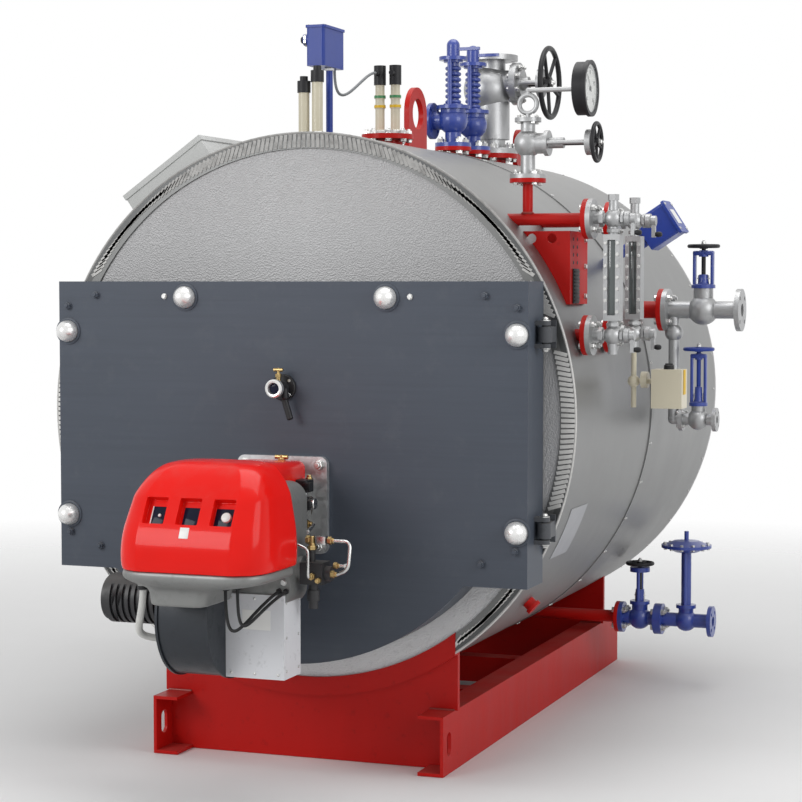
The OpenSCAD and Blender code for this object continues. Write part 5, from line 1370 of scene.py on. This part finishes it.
def bracket_trim():
    """Grille, black discs painted as the shade in holes, and bolts of the gauge bracket."""
    grille = Piece("bracket_grille", "black", slot="black_plastic")
    grille.fit(block((70, 116, 5), 1.5), (BRACKET_X, 182, 1614), RIGHT)
    for k in range(9):
        grille.fit(block((60, 6, 4), 1), (BRACKET_X + 4, 182, 1566 + 12 * k), RIGHT)
    # Black discs stand in for holes: painted shade
    grille.fit(prism(12, 6, 1, 0.2), (BRACKET_X, (158, 206), (1692, 1718, 1744, 1770)), RIGHT)
    grille.close()
    bolts = Piece("bracket_bolts", "zinc", slot="cap_silver")
    bolts.fit(hex_head(10), (BRACKET_X, 300, (1580, 1680, 1770)), RIGHT)
    bolts.close()


# Studio


def soft_lamp(name, at, aim, size, power):
    """Rectangular lamp that looks from one point to another, in metres."""
    data = bpy.data.lights.new(name, "AREA")
    data.shape = "RECTANGLE"
    data.size, data.size_y = size
    data.energy = power
    lamp = bpy.data.objects.new(name, data)
    lamp.location = at
    lamp.rotation_euler = (Vector(aim) - Vector(at)).to_track_quat("-Z", "Y").to_euler()
    bpy.context.scene.collection.objects.link(lamp)


def seen_corners(camera_at):
    """Points of the frame's parts, thinned, as seen from the camera's place."""
    points = []
    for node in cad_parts.values():
        verts = node.data.vertices
        points += [verts[k].co - camera_at for k in range(0, len(verts), max(1, len(verts) // 400))]
    return points


def place_camera(scene, camera_at, margin):
    """Aim and zoom a camera so that every part shows, with a margin at each side."""
    rays = seen_corners(camera_at)
    aim = sum(rays, Vector()) / len(rays)
    for _ in range(4):
        turn = aim.to_track_quat("-Z", "Y").to_matrix()
        flat = [turn.transposed() @ r for r in rays]
        across = [p.x / -p.z for p in flat]
        upright = [p.y / -p.z for p in flat]
        aside, up = ((min(flank) + max(flank)) / 2 for flank in (across, upright))
        aim = turn @ Vector((aside, up, -1))
    reach = max(max(across) - min(across), max(upright) - min(upright)) / 2
    data = bpy.data.cameras.new("studio_camera")
    data.sensor_width = 36
    data.lens = data.sensor_width / 2 * (1 - 2 * margin) / reach
    data.clip_end = 100
    camera = bpy.data.objects.new("studio_camera", data)
    camera.location = camera_at
    camera.rotation_euler = aim.to_track_quat("-Z", "Y").to_euler()
    scene.collection.objects.link(camera)
    scene.camera = camera


def lay_floor(scene, tone):
    """Pale floor that fades out away from the boiler."""
    finish = Finish("studio_floor")
    base = finish.blend(tone, shade(tone, 1.03), finish.noise(3, 2))
    away = finish.x.calc("SQRT", finish.x**2 + finish.y**2)
    finish.surface(base, 0.75, Alpha=1 - away.sharpen(2.4, 7.5))
    mesh = bmesh.new()
    bmesh.ops.create_grid(mesh, x_segments=2, y_segments=2, size=40)
    bmesh.ops.translate(mesh, verts=mesh.verts, vec=(0, 0, -1.5 * MM))
    plane = to_data(mesh, "studio_floor")
    plane.materials.append(finish.material)
    floor = bpy.data.objects.new("studio_floor", plane)
    scene.collection.objects.link(floor)


def set_world(scene, strength):
    """Even light that camera, glossy and transmission rays see as white."""
    world = scene.world or bpy.data.worlds.new("studio_world")
    scene.world = world
    sky = Nodes(world)
    camera_ray, glossy, through = (
        sky.node("ShaderNodeLightPath", out=f"Is {kind} Ray") for kind in ("Camera", "Glossy", "Transmission")
    )
    shown = (camera_ray + glossy + through).clamp()
    light = {"Color": (1, 1, 1), "Strength": shown * (1 - strength) + strength}
    white = sky.node("ShaderNodeBackground", values=light)
    sky.node("ShaderNodeOutputWorld", values={"Surface": white})


# Operators


class BOILER_OT_finishes(bpy.types.Operator):
    """Give every part of the frame its finish"""

    bl_idname = "boiler.finishes"
    bl_label = "Finishes"

    def execute(self, context):
        make_finishes(context.scene.boiler_colours)
        left = set(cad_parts)
        for finish, names in NODE_FINISH.items():
            for name in names.split():
                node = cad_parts[name]
                if not node.material_slots:
                    node.data.materials.append(None)
                for slot in node.material_slots:
                    slot.material = finishes[finish]
                left.remove(name)
        if left:
            raise RuntimeError(f"no finish for {sorted(left)}")
        return {"FINISHED"}


class BOILER_OT_studio(bpy.types.Operator):
    """Lay the floor, set the lamps and place the camera"""

    bl_idname = "boiler.studio"
    bl_label = "Studio"

    def execute(self, context):
        scene = context.scene
        stage = scene.boiler_stage
        scene.view_settings.view_transform = "Standard"
        place_camera(scene, Vector((2.738, -6.510, 1.627)), stage.margin)
        lay_floor(scene, tuple(stage.floor))
        soft_lamp("key_lamp", (-3.6, -5.8, 3.9), (0, 0.2, 1.1), (3.4, 3.0), stage.key)
        soft_lamp("fill_lamp", (5.4, -1.5, 3.2), (0.2, 0.6, 1.1), (3.2, 3.0), stage.fill)
        soft_lamp("top_lamp", (0.6, 1.0, 6.2), (0, 0.8, 1.0), (4.0, 4.0), stage.top)
        set_world(scene, stage.world)
        return {"FINISHED"}


class BOILER_OT_cords(bpy.types.Operator):
    """Lay the cables and the conduit along the routes of the frame"""

    bl_idname = "boiler.cords"
    bl_label = "Cords"

    def execute(self, context):
        sizes = context.scene.boiler_sizes
        for name, points in CABLES.items():
            cord(name, points, sizes.cable, "cable", DOOR, "cable_black", "burner_cables")
        cord("motor_conduit", CONDUIT, sizes.conduit, "conduit", DOOR, "cable_grey", "burner_cables")
        conduit_ribs(sizes.conduit / MM)
        finish, slot, replaced = "grey_cable", "cable_grey", "electrode_cables"
        cord("probe_cable", PROBE_CABLE, sizes.cable, finish, "boiler", slot, replaced)
        return {"FINISHED"}


class BOILER_OT_flange_bolts(bpy.types.Operator):
    """Bolt every flange joint and run a weld bead round the necks"""

    bl_idname = "boiler.flange_bolts"
    bl_label = "Flange bolts"

    def execute(self, context):
        flange_bolts()
        weld_beads()
        return {"FINISHED"}


class BOILER_OT_cladding_trim(bpy.types.Operator):
    """Screw the cladding's seams, crimp its front rim and set the saddle's lip over it"""

    bl_idname = "boiler.cladding_trim"
    bl_label = "Cladding trim"

    def execute(self, context):
        sizes = context.scene.boiler_sizes
        cladding_screws(sizes)
        rim_crimps(sizes.crimps)
        saddle_lip()
        return {"FINISHED"}


class BOILER_OT_door_fittings(bpy.types.Operator):
    """Add the door's nuts, studs, hinge-pin ends, dome nuts and sight tube"""

    bl_idname = "boiler.door_fittings"
    bl_label = "Door fittings"

    def execute(self, context):
        door_nuts()
        sight_tube()
        return {"FINISHED"}


class BOILER_OT_burner_fittings(bpy.types.Operator):
    """Add the burner's hood, bowl, panes, screws, pipes and small covers"""

    bl_idname = "boiler.burner_fittings"
    bl_label = "Burner fittings"

    def execute(self, context):
        burner_castings(context)
        burner_screws()
        valve_train(context.scene.boiler_sizes.oil_pipe)
        burner_plates()
        return {"FINISHED"}


class BOILER_OT_gauges(bpy.types.Operator):
    """Fit the pressure gauge's dial and the level gauges' glasses and screws"""

    bl_idname = "boiler.gauges"
    bl_label = "Gauges"

    def execute(self, context):
        look = shift(*DIAL_AT) @ Matrix((REAR, UP, RIGHT)).transposed().to_4x4()
        dial_marks(look)
        dial_figures(look)
        pane = Piece("gauge_pane", "clear_pane", slot="light_grey")
        pane.add(lathe([(0, 6.0), (79, 6.0), (79.5, 5.2), (79, 4.6), (0, 4.6)], 48), look)
        pane.close()
        level_gauge_trim()
        return {"FINISHED"}


class BOILER_OT_crown_fittings(bpy.types.Operator):
    """Add bands, glands, nuts and bare plates to the fittings on the crown"""

    bl_idname = "boiler.crown_fittings"
    bl_label = "Crown fittings"

    def execute(self, context):
        probe_fittings()
        box_fittings()
        bare_plates(context.scene.boiler_sizes.plate / MM)
        wheel_nut(*STEAM_WHEEL_NUT)
        return {"FINISHED"}


class BOILER_OT_side_fittings(bpy.types.Operator):
    """Add wheel nuts, valve yokes, gland studs, the actuator's strip and the bracket's grille"""

    bl_idname = "boiler.side_fittings"
    bl_label = "Side fittings"

    def execute(self, context):
        for nut in WHEEL_NUTS:
            wheel_nut(*nut)
        valve_yokes()
        actuator_fittings()
        bracket_trim()
        return {"FINISHED"}


STEPS = [
    BOILER_OT_finishes,
    BOILER_OT_studio,
    BOILER_OT_cords,
    BOILER_OT_flange_bolts,
    BOILER_OT_cladding_trim,
    BOILER_OT_door_fittings,
    BOILER_OT_burner_fittings,
    BOILER_OT_gauges,
    BOILER_OT_crown_fittings,
    BOILER_OT_side_fittings,
]
GROUPS = {"boiler_colours": BoilerColours, "boiler_sizes": BoilerSizes, "boiler_stage": BoilerStage}


class BOILER_PT_panel(bpy.types.Panel):
    """Colours, sizes and steps of the boiler"""

    bl_label = "Boiler"
    bl_idname = "BOILER_PT_panel"
    bl_space_type = "VIEW_3D"
    bl_region_type = "UI"
    bl_category = "Boiler"

    def draw(self, context):
        for name, kind in GROUPS.items():
            box = self.layout.box()
            for key in kind.__annotations__:
                box.prop(getattr(context.scene, name), key)
        for step in STEPS:
            self.layout.operator(step.bl_idname)


CLASSES = [*GROUPS.values(), *STEPS, BOILER_PT_panel]


def register():
    for kind in CLASSES:
        bpy.utils.register_class(kind)
    for name, kind in GROUPS.items():
        setattr(bpy.types.Scene, name, PointerProperty(type=kind))


def unregister():
    for name in GROUPS:
        delattr(bpy.types.Scene, name)
    for kind in reversed(CLASSES):
        bpy.utils.unregister_class(kind)


def main():
    register()
    for step in STEPS:
        getattr(bpy.ops.boiler, step.bl_idname.split(".")[1])()
    bpy.context.view_layer.update()


if __name__ == "__main__":
    main()
